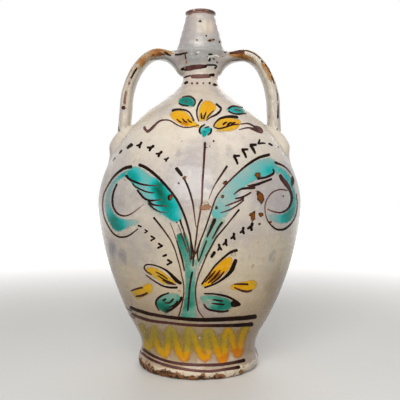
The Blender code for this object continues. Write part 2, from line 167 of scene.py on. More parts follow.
class Board:
    def __init__(self, tree):
        self.tree = tree
        self.ids = {}

    def add(self, kind, settings=None, sockets=None, out=0):
        node = self.tree.nodes.new(kind)
        for name, value in (settings or {}).items():
            if name == "stops":
                self.setStops(node.color_ramp, value)
            else:
                setattr(node, name, value)
        for name, value in (sockets or {}).items():
            socket = node.inputs[name]
            for one in value if isinstance(value, list) else [value]:
                if isinstance(one, Wire):
                    self.tree.links.new(one.socket, socket)
                else:
                    socket.default_value = one
        return Wire(self, node.outputs[out]) if node.outputs else None

    def setStops(self, ramp, stops):
        while len(ramp.elements) > 1:
            ramp.elements.remove(ramp.elements[-1])
        for index, (place, colour) in enumerate(stops):
            element = ramp.elements[0] if index == 0 else ramp.elements.new(place)
            element.position = place
            element.color = colour

    def input(self, label):
        return Wire(self, self.entry.outputs[label])

    def vector(self, operation, *terms, out=0):
        return self.add("ShaderNodeVectorMath", {"operation": operation}, dict(enumerate(terms)), out)

    def scaled(self, vector, factor):
        return self.add("ShaderNodeVectorMath", {"operation": "SCALE"}, {0: vector, "Scale": factor})

    def combine(self, x, y, z):
        return self.add("ShaderNodeCombineXYZ", None, {0: x, 1: y, 2: z})

    def split(self, vector):
        node = self.add("ShaderNodeSeparateXYZ", None, {0: vector})
        return node.out("X"), node.out("Y"), node.out("Z")

    def noise(self, vector, scale, detail=2.0, roughness=0.5, out="Fac"):
        sockets = {"Vector": vector, "Scale": scale, "Detail": detail, "Roughness": roughness}
        return self.add("ShaderNodeTexNoise", None, sockets, out)

    def uneven(self, amount, vector, *grain):  # noise that swings about zero
        return (self.noise(vector, *grain) - 0.5) * amount

    def shaken(self, amount, vector, *grain):  # the same in three directions
        shake = self.noise(vector, *grain, out="Color")
        return self.scaled(self.vector("SUBTRACT", shake, (0.5, 0.5, 0.5)), amount)

    def blend(self, first, second, share):  # of colours
        return self.add("ShaderNodeMix", {"data_type": "RGBA"}, {0: share, 6: first, 7: second}, 2)

    def stained(self, colour, kind, share):  # towards one of the glaze's own shades
        return self.blend(colour, shade(kind), share)

    def ramp(self, share, stops):
        stops = [(place, tone(*colour)) for place, colour in stops]
        return self.add("ShaderNodeValToRGB", {"stops": stops}, {0: share})

    def place(self):  # where a point of the finish lies on the jug
        return self.add("ShaderNodeTexCoord", None, None, "Object")

    def carried(self, name):  # a value that the mesh brings to its finish
        return self.add("ShaderNodeAttribute", {"attribute_name": name}, None, "Fac")

    def shape(self, label):  # geometry of the object in a tree's input
        return self.add("GeometryNodeObjectInfo", None, {"Object": self.input(label)}, "Geometry")

    def points(self, mesh):
        return self.add("GeometryNodeMeshToPoints", None, {"Mesh": mesh})

    def position(self):
        return self.add("GeometryNodeInputPosition")

    def normal(self):
        return self.add("GeometryNodeInputNormal")

    def named(self, name, kind="FLOAT"):
        return self.add("GeometryNodeInputNamedAttribute", {"data_type": kind}, {"Name": name})

    def stored(self, geometry, name, value, kind="FLOAT", domain="POINT"):
        return self.add("GeometryNodeStoreNamedAttribute", {"data_type": kind, "domain": domain},
                        {"Geometry": geometry, "Name": name, "Value": value})

    def moved(self, geometry, **place):  # by an Offset or to a Position
        return self.add("GeometryNodeSetPosition", None, {"Geometry": geometry, **place})

    def merged(self, geometry, distance):
        return self.add("GeometryNodeMergeByDistance", None, {"Geometry": geometry, "Distance": distance})

    def realized(self, geometry):
        return self.add("GeometryNodeRealizeInstances", None, {"Geometry": geometry})

    def distance(self, geometry, element):
        return self.add("GeometryNodeProximity", {"target_element": element}, {"Geometry": geometry},
                        "Distance")

    def facing(self, mesh, normal):  # shading normals of its own
        return self.add("GeometryNodeSetMeshNormal", {"mode": "FREE", "domain": "POINT"},
                        {"Mesh": mesh, "Custom Normal": normal})

    def smoothRun(self, mesh):  # a round curve through the points of an edge mesh, in even steps
        line = self.add("GeometryNodeMeshToCurve", None, {"Mesh": mesh})
        line = self.add("GeometryNodeCurveSplineType", {"spline_type": "CATMULL_ROM"}, {"Curve": line})
        return self.add("GeometryNodeResampleCurve", {"mode": "LENGTH"},
                        {"Curve": line, "Length": self.input("Spacing")})


def newTree(name, inputs):  # a geometry tree with named inputs
    tree = bpy.data.node_groups.new(name, "GeometryNodeTree")
    board = Board(tree)
    for label, kind in {"Geometry": "Geometry", **inputs}.items():
        socket = tree.interface.new_socket(label, in_out="INPUT", socket_type="NodeSocket" + kind)
        board.ids[label] = socket.identifier
    tree.interface.new_socket("Geometry", in_out="OUTPUT", socket_type="NodeSocketGeometry")
    board.entry = tree.nodes.new("NodeGroupInput")
    return board


def closeTree(board, geometry):  # every tree ends in plain geometry with its finish
    geometry = board.add("GeometryNodeSetShadeSmooth", None, {"Geometry": geometry, "Shade Smooth": True})
    geometry = board.realized(geometry)
    geometry = board.add("GeometryNodeSetMaterial", None,
                         {"Geometry": geometry, "Material": board.input("Finish")})
    board.add("NodeGroupOutput", None, {"Geometry": geometry})


def grow(name, board, values, source=None):  # runs a tree once and keeps the result as a plain mesh
    carrier = addToScene(name + "Carrier", source or bpy.data.meshes.new(name + "Carrier"))
    modifier = carrier.modifiers.new(name, "NODES")
    modifier.node_group = board.tree
    for label, value in values.items():
        modifier[board.ids[label]] = value
    graph = bpy.context.evaluated_depsgraph_get()
    mesh = bpy.data.meshes.new_from_object(carrier.evaluated_get(graph), preserve_all_data_layers=True,
                                           depsgraph=graph)
    bpy.data.objects.remove(carrier)
    mesh.name = name
    return addToScene(name, mesh)


def pointMesh(name, points, edges=(), values=()):  # points with values at each of them
    mesh = bpy.data.meshes.new(name)
    mesh.from_pydata([tuple(point) for point in points], edges, [])
    for label, numbers in dict(values).items():
        mesh.attributes.new(label, "FLOAT", "POINT").data.foreach_set("value", numbers)
    return addToScene(name, mesh)


def chain(name, runs, values=()):  # runs of points as one mesh of edges, with values at each point
    points = [point for run in runs for point in run]
    edges = []
    start = 0
    for run in runs:
        edges += [(start + index, start + index + 1) for index in range(len(run) - 1)]
        start += len(run)
    return pointMesh(name, points, edges, values)


# Outline of the thrown body, in mm: radius and height, as chained cubic curves

bodyShape = {
    "flange": [(72.0, 0.0), (74.4, 0.0), (76.4, 3.6), (76.4, 9.0)],
    "footWaist": [(76.4, 9.0), (76.4, 15.7), (72.4, 17.2), (72.4, 24.0)],
    "footFlare": [(72.4, 24.0), (72.4, 35.0), (77.5, 44.0), (84.0, 55.0)],
    "lowerBelly": [(84.0, 55.0), (104.1, 89.0), (128.3, 158.0), (128.3, 205.0)],
    "upperBelly": [(128.3, 205.0), (128.3, 248.0), (92.0, 301.2), (61.0, 326.0)],
    "neck": [(61.0, 326.0), (41.5, 341.6), (21.7, 353.4), (21.7, 365.0)],
    "collar": [(21.7, 365.0), (21.7, 379.0), (28.8, 385.2), (31.0, 396.4)],
    "ledge": [(31.0, 396.4), (31.1, 397.5), (30.8, 397.9), (30.0, 398.2)],
    "spout": [(29.6, 398.6), (29.0, 410.0), (20.8, 431.5), (18.4, 446.0)],
    "lipOutside": [(18.4, 446.0), (18.5, 446.7), (19.6, 446.5), (19.7, 447.6)],
    "lipTop": [(19.7, 447.6), (19.8, 449.2), (18.6, 449.8), (16.6, 449.8)],
    "lipInside": [(16.6, 449.8), (14.6, 449.8), (13.3, 448.6), (13.2, 446.0)],
}
wallShape = {  # thickness in mm at heights in mm, from the foot up
    "heights": [0.0, 24.0, 205.0, 365.0, 398.0, 450.0],
    "walls": [10.0, 10.0, 7.0, 6.0, 6.2, 5.2],
    "floor": 12.0,
    "floorCorner": 7.0,
}
bodyMesh = {"sides": 288, "row": 2.15, "fineRow": 0.8, "insideRow": 9.0}
fineZones = [(0.0, 14.0), (392.0, 402.0), (440.0, 450.0)]  # heights in mm with closer rows


def cubic(corners, steps):
    points = []
    for step in range(1, steps + 1):
        t = step / steps
        u = 1.0 - t
        weights = (u * u * u, 3 * u * u * t, 3 * u * t * t, t * t * t)
        points.append(tuple(sum(w * corner[axis] for w, corner in zip(weights, corners)) for axis in (0, 1)))
    return points


def wallAt(height):
    knots = list(zip(wallShape["heights"], wallShape["walls"]))
    for (low, first), (high, second) in zip(knots, knots[1:]):
        if height <= high:
            return first + (second - first) * (height - low) / (high - low)
    return knots[-1][1]


def outsideLine():
    line = [(0.0, 0.0), bodyShape["flange"][0]]
    for corners in bodyShape.values():
        if math.dist(line[-1], corners[0]) > 1e-6:
            line.append(corners[0])
        line += cubic(corners, 60)
    return line


def insideLine(outside):  # down the bore and the inner wall to the middle of the floor
    line = []
    cornerZ = wallShape["floor"] + wallShape["floorCorner"]
    topZ = bodyShape["lipInside"][-1][1]
    for before, point, after in zip(outside, outside[1:], outside[2:]):
        if not cornerZ < point[1] < topZ or after[1] <= before[1]:
            continue
        along = Vector((after[0] - before[0], after[1] - before[1])).normalized()
        wall = wallAt(point[1])
        moved = (point[0] - along.y * wall, point[1] + along.x * wall)
        if not line or moved[1] > line[-1][1] + 0.3:
            line.append(moved)
    line = [point for point in line if cornerZ < point[1] < topZ - 1.0]
    line.reverse()
    low = line[-1]
    corner = [low, (low[0], wallShape["floor"] + 2.0), (low[0] - 4.0, wallShape["floor"]),
              (low[0] - 12.0, wallShape["floor"])]
    return line + cubic(corner, 6) + [(0.0, wallShape["floor"])]


def evenly(line, spacingAt):  # points along a line at a spacing that depends on the height
    picked = [line[0]]
    travelled = 0.0
    for before, after in zip(line, line[1:]):
        length = math.dist(before, after)
        place = 0.0
        while length - place + travelled >= spacingAt(after[1]):
            place += spacingAt(after[1]) - travelled
            travelled = 0.0
            share = place / length
            picked.append(tuple(a + (b - a) * share for a, b in zip(before, after)))
        travelled += length - place
    if math.dist(picked[-1], line[-1]) > 1e-3:
        picked.append(line[-1])
    return picked


def bodyRows():  # radius and height of every row, and how many of them lie outside
    def spacing(height):
        fine = any(low <= height <= high for low, high in fineZones)
        return bodyMesh["fineRow" if fine else "row"]

    outside = outsideLine()
    outer = evenly(outside, spacing)
    inner = evenly(insideLine(outside), lambda height: bodyMesh["insideRow"])
    return [(radius / 1000, height / 1000) for radius, height in outer + inner], len(outer)


handMade = {  # unevenness of the hand-thrown wall
    "wobble": 0.0005,
    "ringDepth": 0.00016,
    "ringSpacing": 0.0092,
    "wear": 0.0016,
    "footShift": -0.0014,  # the foot sits a little off the belly's middle
    "neckShift": 0.0013,  # and the neck leans a little the other way
    "seed": 4.0,
    "merge": 0.00002,
    "fillet": 0.010,  # how far the clay of a handle's root is smeared over the collar
    "lutedAbove": (0.335, 0.345),  # heights over which that begins
}


def luted(board, clay, other, share=1.0):  # clay smeared over a seam, so that the light runs on across it
    near = (1.0 - board.distance(other, "FACES") / board.input("Fillet")).most(0.0)
    _, _, height = board.split(board.position())
    near = near * height.step(*handMade["lutedAbove"]) * share
    normal = board.normal()
    theirs = board.add("GeometryNodeSampleNearestSurface", {"data_type": "FLOAT_VECTOR"},
                       {"Mesh": other, "Value": normal})
    both = board.vector("ADD", board.scaled(normal, 1.0 - near * 0.5), board.scaled(theirs, near * 0.5))
    clay = board.stored(clay, "seamNormal", board.vector("NORMALIZE", both), "FLOAT_VECTOR")
    clay = board.moved(clay, Offset=board.scaled(normal, near * near * board.input("Fillet") * 0.25))
    return board.facing(clay, board.named("seamNormal", "FLOAT_VECTOR"))


def skinTree():
    board = newTree("thrownSkin", {
        "Outline": "Object", "Sides": "Int", "Rows": "Int", "Outer Rows": "Int", "Wobble": "Float",
        "Ring Depth": "Float", "Ring Spacing": "Float", "Wear": "Float", "Foot Shift": "Float",
        "Neck Shift": "Float", "Seed": "Float", "Luted Left": "Object", "Luted Right": "Object",
        "Fillet": "Float", "Finish": "Material"})
    grid = board.add("GeometryNodeMeshGrid", None, {
        "Size X": 1.0, "Size Y": 1.0, "Vertices X": board.input("Sides") + 1,
        "Vertices Y": board.input("Rows")})
    u, v, _ = board.split(grid.out("UV Map"))
    row = (v * (board.input("Rows") - 1.0)).math("ROUND")
    turn = u * math.tau
    outline = board.shape("Outline")
    onLine = board.add("GeometryNodeSampleIndex", {"data_type": "FLOAT_VECTOR", "domain": "POINT"},
                       {"Geometry": outline, "Value": board.position(), "Index": row})
    radius, _, height = board.split(onLine)
    ahead = board.combine(turn.sine(), -1.0 * turn.cosine(), 0.0)  # u is 0.5 at the back

    # Slow unevenness of the whole wall, and the rings that the potter's fingers left outside
    seed = board.input("Seed")
    place = board.combine(turn.sine() * 0.11 + seed, turn.cosine() * 0.11, height)
    slow = board.noise(place, 9.0, 1.0) - 0.5
    drift = board.noise(place, 30.0, 1.0) * 2.2
    spiral = (height / board.input("Ring Spacing") * math.tau + turn + drift * 2.0).sine()
    outside = (board.input("Outer Rows") - 0.5 - row).step(0.0, 0.1)
    ringed = outside * height.step(0.07, 0.12) * (0.45 + 0.75 * height.step(0.33, 0.36))
    belly = (radius / 0.1285).step(0.9, 1.0)
    shift = slow * board.input("Wobble") * (1.0 - 0.6 * belly) - board.input("Wobble") * 0.12 * belly
    shift = shift + spiral * board.input("Ring Depth") * ringed * (1.0 - 0.5 * belly)

    # The foot's lower edge is worn back in bites
    bites = board.noise(board.combine(turn.sine(), turn.cosine(), seed), 7.0, 4.0, 0.62)
    edge = (1.0 - height.step(0.0005, 0.0085)) * radius.step(0.060, 0.0705) * outside
    shift = shift - bites.step(0.47, 0.66) * edge * board.input("Wear")
    shift = shift * radius.step(0.0, 0.01)
    bottom = bites.step(0.44, 0.60) * radius.step(0.0715, 0.0740) * edge * board.input("Wear") * 0.5
    leaning = board.input("Foot Shift") * (1.0 - height.step(0.01, 0.11))
    leaning = leaning + board.input("Neck Shift") * height.step(0.325, 0.375)
    middle = board.combine(leaning, 0.0, height + bottom)
    skin = board.moved(grid, Position=board.vector("ADD", board.scaled(ahead, radius + shift), middle))
    sheet = board.combine(u, v, 0.0)
    skin = board.stored(skin, "OFBake", sheet, "FLOAT2", "CORNER")
    skin = board.stored(skin, "inside", 1.0 - outside)
    skin = board.merged(skin, handMade["merge"])

    # Clay smeared up where the handles run out of the collar
    handles = [board.shape(label) for label in ("Luted Left", "Luted Right")]
    joined = board.add("GeometryNodeJoinGeometry", None, {"Geometry": handles})
    closeTree(board, luted(board, skin, joined, 1.0 - board.named("inside")))
    return board


# Strap handles: a line in the upright plane, with half the breadth and depth of the strap at each point

strapShape = {
    "width": 0.0300, "ridge": 0.0013,
    "rootWidth": 0.0350, "rootThickness": 0.0310, "rootFillet": 0.0205,
    "root": (0.0178, 0.3852), "tailSink": 0.0120, "tailLean": 0.20, "sideLean": 0.05,
    "stations": 96, "sides": 44, "unevenness": 0.0012,
}
strapBows = {  # reach from the axis and height in metres, thickness at the crown and down the flank
    "left": {"side": -1, "crown": (0.0530, 0.3960), "flank": (0.0936, 0.3320), "thickness": (0.0132, 0.0148),
             "spread": 0.0200, "rise": 0.0300, "landing": (0.0978, 0.2898), "seed": 2.0},
    "right": {"side": 1, "crown": (0.0560, 0.3946), "flank": (0.0942, 0.3326), "thickness": (0.0134, 0.0157),
              "spread": 0.0220, "rise": 0.0270, "landing": (0.0960, 0.2924), "seed": 5.0},
}
padShape = {  # thumbed pads under the straps
    "rise": [  # height and how far the clay stands proud, in mm
        (305.0, 0.0), (300.5, 5.5), (296.0, 9.0), (290.0, 11.2), (283.0, 12.2), (276.0, 12.0), (272.0, 10.8),
        (268.5, 8.2), (265.0, 5.0), (259.0, 2.2), (248.0, 0.0),
    ],
    "halfWidth": {"left": 0.0235, "right": 0.0225}, "sink": 0.0024, "edge": 0.0003, "probe": 0.002,
    "stations": 44, "sides": 56,
}


def strapRoute(bow):
    root, crown, flank = strapShape["root"], bow["crown"], bow["flank"]
    tail = (bow["landing"][0] + 0.0020, bow["landing"][1] - strapShape["tailSink"])
    each = strapShape["stations"] // 3
    route = [root]
    route += cubic([root, (root[0] + 0.0100, root[1] + 0.0015), (crown[0] - 0.0120, crown[1]), crown], each)
    route += cubic([crown, (crown[0] + bow["spread"], crown[1]),
                    (flank[0] - strapShape["sideLean"] * bow["rise"], flank[1] + bow["rise"]), flank], each)
    route += cubic([flank, (flank[0] + strapShape["sideLean"] * 0.0150, flank[1] - 0.0150),
                    (tail[0] - strapShape["tailLean"] * 0.0150, tail[1] + 0.0150), tail], each)
    return route


def strapSizes(route, bow):
    breadths, depths = [], []
    crown, flank = bow["thickness"]
    for index, (reach, _) in enumerate(route):
        root = max(0.0, 1.0 - max(0.0, reach - 0.0223) / strapShape["rootFillet"]) ** 2
        thickness = crown + (flank - crown) * min(1.0, max(0.0, index / len(route) - 0.42) / 0.2)
        breadths.append((strapShape["width"] + (strapShape["rootWidth"] - strapShape["width"]) * root) / 2)
        depths.append((thickness + (strapShape["rootThickness"] - thickness) * root) / 2)
    return breadths, depths


def strapTree():
    board = newTree("pulledStrap", {
        "Route": "Object", "Side": "Float", "Sides": "Int", "Stations": "Int", "Ridge": "Float",
        "Unevenness": "Float", "Seed": "Float", "Finish": "Material"})
    side = board.input("Side")
    grid = board.add("GeometryNodeMeshGrid", None, {
        "Size X": 1.0, "Size Y": 1.0, "Vertices X": board.input("Sides") + 1,
        "Vertices Y": board.input("Stations")})
    u, v, _ = board.split(grid.out("UV Map"))
    route = board.shape("Route")
    line = board.add("GeometryNodeMeshToCurve", None, {"Mesh": route})

    def along(name, out="Value"):  # a value of the route, or its place, beside each row of the strap
        return board.add("GeometryNodeSampleCurve",
                         {"data_type": "FLOAT", "mode": "FACTOR", "use_all_curves": True},
                         {"Curves": line, "Value": board.named(name), "Factor": v}, out)

    breadth = along("breadth")
    depth = along("depth")
    centre = along("breadth", "Position")
    tangentX, _, tangentZ = board.split(centre.out("Tangent"))
    outward = board.combine(-1.0 * tangentZ * side, 0.0, tangentX * side)
    turn = u * math.tau
    across = turn.cosine().math("SIGN") * turn.cosine().size() ** 0.75
    out = turn.sine().math("SIGN") * turn.sine().size() ** 0.85
    ridge = (across * math.tau).cosine() * turn.sine().most(0.0) * board.input("Ridge")
    place = board.vector("ADD", centre, board.combine(board.input("Seed"), across * 0.01, out * 0.006))
    uneven = board.uneven(board.input("Unevenness"), place, 42.0, 2.0)
    offset = board.vector("ADD", board.scaled(outward, out * (depth + uneven) + ridge),
                          board.combine(0.0, across * (breadth + uneven), 0.0))
    strap = board.stored(board.stored(grid, "share", v), "outward", out)
    strap = board.moved(strap, Position=board.vector("ADD", centre, offset))
    strap = board.merged(strap, handMade["merge"])
    closeTree(board, strap)
    return board


def radiusAt(height, outside):  # of the outline, in metres
    for (low, zLow), (high, zHigh) in zip(outside, outside[1:]):
        if zLow <= height * 1000 <= zHigh and zHigh > zLow:
            return (low + (high - low) * (height * 1000 - zLow) / (zHigh - zLow)) / 1000
    return 0.0


def riseAt(height):  # how far the pad stands proud of the shoulder, all in mm, straight between its points
    knots = padShape["rise"]
    for (high, first), (low, second) in zip(knots, knots[1:]):
        if low <= height <= high:
            share = (high - height) / (high - low)
            return first + (second - first) * share
    return 0.0


def padMesh(word, bow):  # a closed low mound of clay on the shoulder's slope, its rim sunk into the wall
    outside = outsideLine()
    top, bottom = padShape["rise"][0][0], padShape["rise"][-1][0]
    rings = []
    count, sides, probe = padShape["stations"], padShape["sides"], padShape["probe"]
    for index in range(count):
        height = top + (bottom - top) * index / (count - 1)
        soft = sum(riseAt(height + shift) for shift in (-2.0, -1.0, 0.0, 1.0, 2.0)) / 5000
        height = height / 1000
        radius = radiusAt(height, outside)
        falling = radiusAt(height - probe, outside) - radiusAt(height + probe, outside)
        slope = Vector((falling, 2 * probe)).normalized()
        ring = []
        for step in range(sides):
            angle = math.tau * step / sides
            across = math.cos(angle)
            around = padShape["halfWidth"][word] * across / radius
            lift = soft * (1.0 - across ** 4) ** 2 - padShape["edge"]
            if angle > math.pi:
                lift = padShape["sink"] * math.sin(angle) - padShape["edge"]
            reach = radius + slope.y * lift
            x, y = bow["side"] * reach * math.cos(around), reach * math.sin(around)
            ring.append((x, y, height + slope.x * lift))
        rings.append(ring)
    faces = [tuple(range(sides)), tuple(range((count - 1) * sides, count * sides))]
    for row in range(count - 1):
        for step in range(sides):
            here, after = row * sides + step, row * sides + (step + 1) % sides
            faces.append((here, after, after + sides, here + sides))
    mesh = bpy.data.meshes.new(word + "_pad")
    mesh.from_pydata([point for ring in rings for point in ring], [], faces)
    return addToScene(word + "_pad", mesh)


def closeMesh(item):  # merges doubles and turns every face outwards
    bm = bmesh.new()
    bm.from_mesh(item.data)
    bmesh.ops.remove_doubles(bm, verts=bm.verts, dist=1e-6)
    holes = [edge for edge in bm.edges if edge.is_boundary]
    if holes:
        bmesh.ops.holes_fill(bm, edges=holes)
    bmesh.ops.recalc_face_normals(bm, faces=bm.faces)
    bm.to_mesh(item.data)
    bm.free()


def luteTree():  # spreads the clay of a handle's root onto the collar
    board = newTree("lutedHandle", {"Body": "Object", "Fillet": "Float", "Finish": "Material"})
    closeTree(board, luted(board, board.input("Geometry"), board.shape("Body")))
    return board


# Colours are written as they look, 0 to 255, and turned into the renderer's linear values

def tone(red, green, blue):
    def linear(value):
        value = value / 255
        return value / 12.92 if value <= 0.04045 else ((value + 0.055) / 1.055) ** 2.4
    return (linear(red), linear(green), linear(blue), 1.0)


def shade(kind):
    return tone(*glazeLook["shades"][kind])


def newFinish(name):
    material = bpy.data.materials.new(name)
    material.use_nodes = True
    material.node_tree.nodes.clear()
    return material, Board(material.node_tree)


def endFinish(board, sockets):
    shader = board.add("ShaderNodeBsdfPrincipled", None, sockets)
    board.add("ShaderNodeOutputMaterial", None, {"Surface": shader})


glazeLook = {
    "roughness": 0.27, "coat": 0.2, "coatRoughness": 0.10, "specular": 0.35, "peel": 0.00006,
    "bands": [  # height in metres and colour there: partly the glaze's own tone and partly painted light and shade, lighter on the shoulder and darker and browner towards the foot
        (0.000, (176, 146, 108)), (0.014, (178, 150, 114)), (0.026, (170, 147, 114)),
        (0.060, (168, 143, 108)), (0.080, (180, 156, 124)), (0.100, (202, 181, 150)),
        (0.140, (214, 199, 173)), (0.180, (208, 196, 178)), (0.215, (198, 188, 176)),
        (0.240, (200, 190, 178)), (0.262, (216, 204, 188)), (0.290, (228, 215, 197)),
        (0.330, (222, 208, 186)), (0.350, (218, 202, 184)), (0.364, (214, 196, 180)),
        (0.374, (192, 184, 176)), (0.382, (162, 160, 158)), (0.392, (160, 160, 158)),
        (0.404, (172, 168, 165)), (0.425, (186, 176, 169)), (0.450, (190, 178, 168)),
    ],
    "clouds": [  # soft patches in the glaze: photo pixel, half width and half height in pixels, strength, kind. Most are stains and tints; the 'light' ones and the 'pale' ones at the left edge and on the shoulder are painted highlights, the tall 'cool' one on the spout's left is painted shade, and the 'brown' ones darken the sides, mostly low down
        (262, 192, 26, 26, 0.55, "cool"), (188, 184, 20, 34, 0.45, "cool"), (275, 214, 18, 22, 0.40, "cool"),
        (122, 203, 14, 18, 0.40, "cool"), (236, 226, 22, 14, 0.35, "cool"), (119, 243, 6, 10, 0.75, "bruise"),
        (131, 246, 5, 6, 0.50, "bruise"), (206, 160, 12, 22, 0.25, "cool"), (272, 296, 18, 44, 0.50, "brown"),
        (131, 300, 12, 26, 0.35, "brown"), (109, 166, 7, 30, 0.70, "brown"), (285, 176, 9, 24, 0.35, "cool"),
        (107, 252, 9, 36, 1.0, "pale"), (198.8, 32, 3, 10, 0.24, "light"), (204.6, 30, 2.4, 9, 0.40, "light"),
        (210.6, 31, 3, 8, 0.40, "light"), (200, 71, 10, 3, 0.60, "light"), (196, 47, 10, 3, 0.35, "light"),
        (166, 263, 9, 8, 0.35, "light"), (214, 374, 20, 4, 0.50, "light"),
        (183, 22, 10, 30, 0.55, "cool"), (180, 60, 9, 9, 0.8, "mauve"), (224, 61, 10, 9, 0.8, "mauve"),
        (201, 16, 8, 6, 0.4, "cool"), (210, 32, 5, 12, 0.4, "blush"), (234, 144, 16, 18, 0.50, "pale"),
        (128, 156, 12, 18, 0.30, "cool"), (160, 224, 16, 10, 0.18, "cool"), (248, 338, 14, 26, 0.35, "brown"),
        (150, 336, 14, 22, 0.30, "brown"),
    ],
    "shades": {
        "cool": (158, 150, 158), "warm": (214, 196, 164), "bruise": (118, 118, 132), "brown": (132, 104, 70),
        "pale": (240, 226, 210), "light": (240, 228, 216), "mauve": (146, 130, 122), "blush": (222, 196, 176),
        "speck": (112, 92, 72), "dirt": (158, 142, 124), "rubbed": (240, 232, 220),
        "bleached": (236, 228, 214), "creamGlazeAndHighlight": (238, 222, 196),
        "lip": (112, 64, 54), "lipEndShade": (44, 38, 24), "lipWorn": (176, 140, 108),
        "clay": (150, 98, 56), "clayDark": (54, 36, 22), "rawClay": (188, 150, 116), "dust": (128, 108, 82),
        "pinhole": (108, 88, 72), "pinholeDark": (54, 40, 32),
        "strapBody": (200, 190, 172), "strapOchre": (168, 120, 66), "strapBrown": (96, 56, 30),
    },
}
jugHeight = 0.45


def agedColour(board, place, colour, strength=1.0):  # grime specks and a fine uneven tint
    fine = board.noise(place, 900.0, 2.0, 0.6)
    mid = board.noise(place, 260.0, 3.0, 0.6)
    mottle = board.noise(place, 120.0, 4.0, 0.7)
    colour = board.stained(colour, "dirt", mottle.step(0.50, 0.74) * (0.30 * strength))
    colour = board.stained(colour, "rubbed", (1.0 - mottle.step(0.30, 0.48)) * (0.20 * strength))
    colour = board.stained(colour, "speck", mid.step(0.64, 0.78) * (0.40 * strength))
    colour = board.stained(colour, "speck", fine.step(0.66, 0.80) * (0.40 * strength))
    return board.stained(colour, "bleached", (1.0 - mid.step(0.26, 0.36)) * (0.20 * strength))


def glazeBump(board, place):
    peel = board.noise(place, 340.0, 2.0) * 0.7 + board.noise(place, 1400.0, 1.0) * 0.3
    return board.add("ShaderNodeBump", None,
                     {"Strength": 0.55, "Distance": glazeLook["peel"] * 8, "Height": peel})


def glazeColour(board, place):
    x, y, height = board.split(place)
    stops = [(z / jugHeight, colour) for z, colour in glazeLook["bands"]]
    sway = board.uneven(0.05, place, 14.0, 2.0)
    colour = board.ramp(height / jugHeight + sway, stops)
    colour = board.stained(colour, "cool", board.noise(place, 17.0, 3.0, 0.55).step(0.46, 0.72) * 0.55)
    warm = board.vector("ADD", place, (3.1, 1.7, 0.4))
    colour = board.stained(colour, "warm", board.noise(warm, 24.0, 3.0, 0.6).step(0.52, 0.74) * 0.5)
    bruise = board.vector("ADD", place, (7.3, 2.2, 5.4))
    spots = board.noise(bruise, 46.0, 2.0, 0.5).step(0.64, 0.76) * (1.0 - height.step(0.26, 0.31))
    colour = board.stained(colour, "bruise", spots * 0.42)
    front = 1.0 - y.step(-0.02, 0.0)
    wisps = board.uneven(1.3, place, 34.0, 4.0, 0.65)
    # Soft patches of stain and tint, with painted highlights and painted shade among them
    for column, line, wide, tall, strength, kind in glazeLook["clouds"]:
        middle = fromPhoto(column, line)
        across = (x - middle.x) / (wide * pxSize)
        up = (height - middle.z) / (tall * pxSize)
        soft = 1.0 - ((across * across + up * up).math("SQRT") + wisps).step(0.35, 1.15)
        colour = board.stained(colour, kind, soft * front * strength)
    return colour


def tinGlaze():
    material, board = newFinish("tinGlaze")
    place = board.place()
    x, _, height = board.split(place)
    colour = agedColour(board, place, glazeColour(board, place))

    # Brown lip, rubbed through to clay in places
    ragged = board.uneven(0.004, place, 160.0, 3.0, 0.6)
    lip = (height + ragged).step(0.4434, 0.4444)
    worn = board.noise(place, 210.0, 3.0, 0.65)
    brown = board.stained(shade("lip"), "lipWorn", worn.step(0.58, 0.70))
    # The lip ring darkens towards its left and right sides: painted shade where it turns away from the front
    sides = (x.size() + (worn - 0.5) * 0.016).step(0.0110, 0.0180)
    brown = board.stained(brown, "lipEndShade", sides * 0.85)
    colour = board.blend(colour, brown, lip * 0.95)

    # Bare clay along the worn foot edge, under the foot and inside
    bite = board.noise(place, 95.0, 4.0, 0.65)
    crumbs = board.noise(place, 210.0, 4.0, 0.7)
    foot = 1.0 - (height + (bite - 0.5) * 0.024 + (crumbs - 0.5) * 0.012 + x * 0.060).step(0.0062, 0.0072)
    inside = board.carried("inside")
    clay = board.stained(shade("clay"), "clayDark", crumbs.step(0.44, 0.56))
    dusty = (1.0 - crumbs.step(0.36, 0.44)).most(1.0 - height.step(0.0008, 0.0020))
    clay = board.stained(clay, "dust", dusty * 0.6)
    # A cream band along the flange's upper edge: paler glaze with a painted highlight on it
    thick = 1.0 - (height + (bite - 0.5) * 0.008).step(0.0112, 0.0132)
    thick = thick * board.noise(place, 60.0, 3.0, 0.6).step(0.34, 0.48)
    colour = board.stained(colour, "creamGlazeAndHighlight", thick * 0.8)
    colour = board.blend(colour, clay, foot)
    bare = inside.most(1.0 - height.step(0.0001, 0.0006))
    colour = board.stained(colour, "rawClay", bare * (1.0 - lip))
    rough = board.uneven(0.12, place, 60.0, 2.0) + glazeLook["roughness"]
    rough = rough + foot.most(bare) * 0.5
    endFinish(board, {
        "Base Color": colour, "Roughness": rough, "Coat Weight": (1.0 - foot.most(bare)) * glazeLook["coat"],
        "Coat Roughness": glazeLook["coatRoughness"], "Specular IOR Level": glazeLook["specular"],
        "Normal": glazeBump(board, place)})
    return material


strapLook = {  # where the ochre begins and ends along the strap, and how much of it is rubbed away
    "left": (0.16, 0.56, 0.30),
    "right": (0.14, 0.62, 0.44),
}


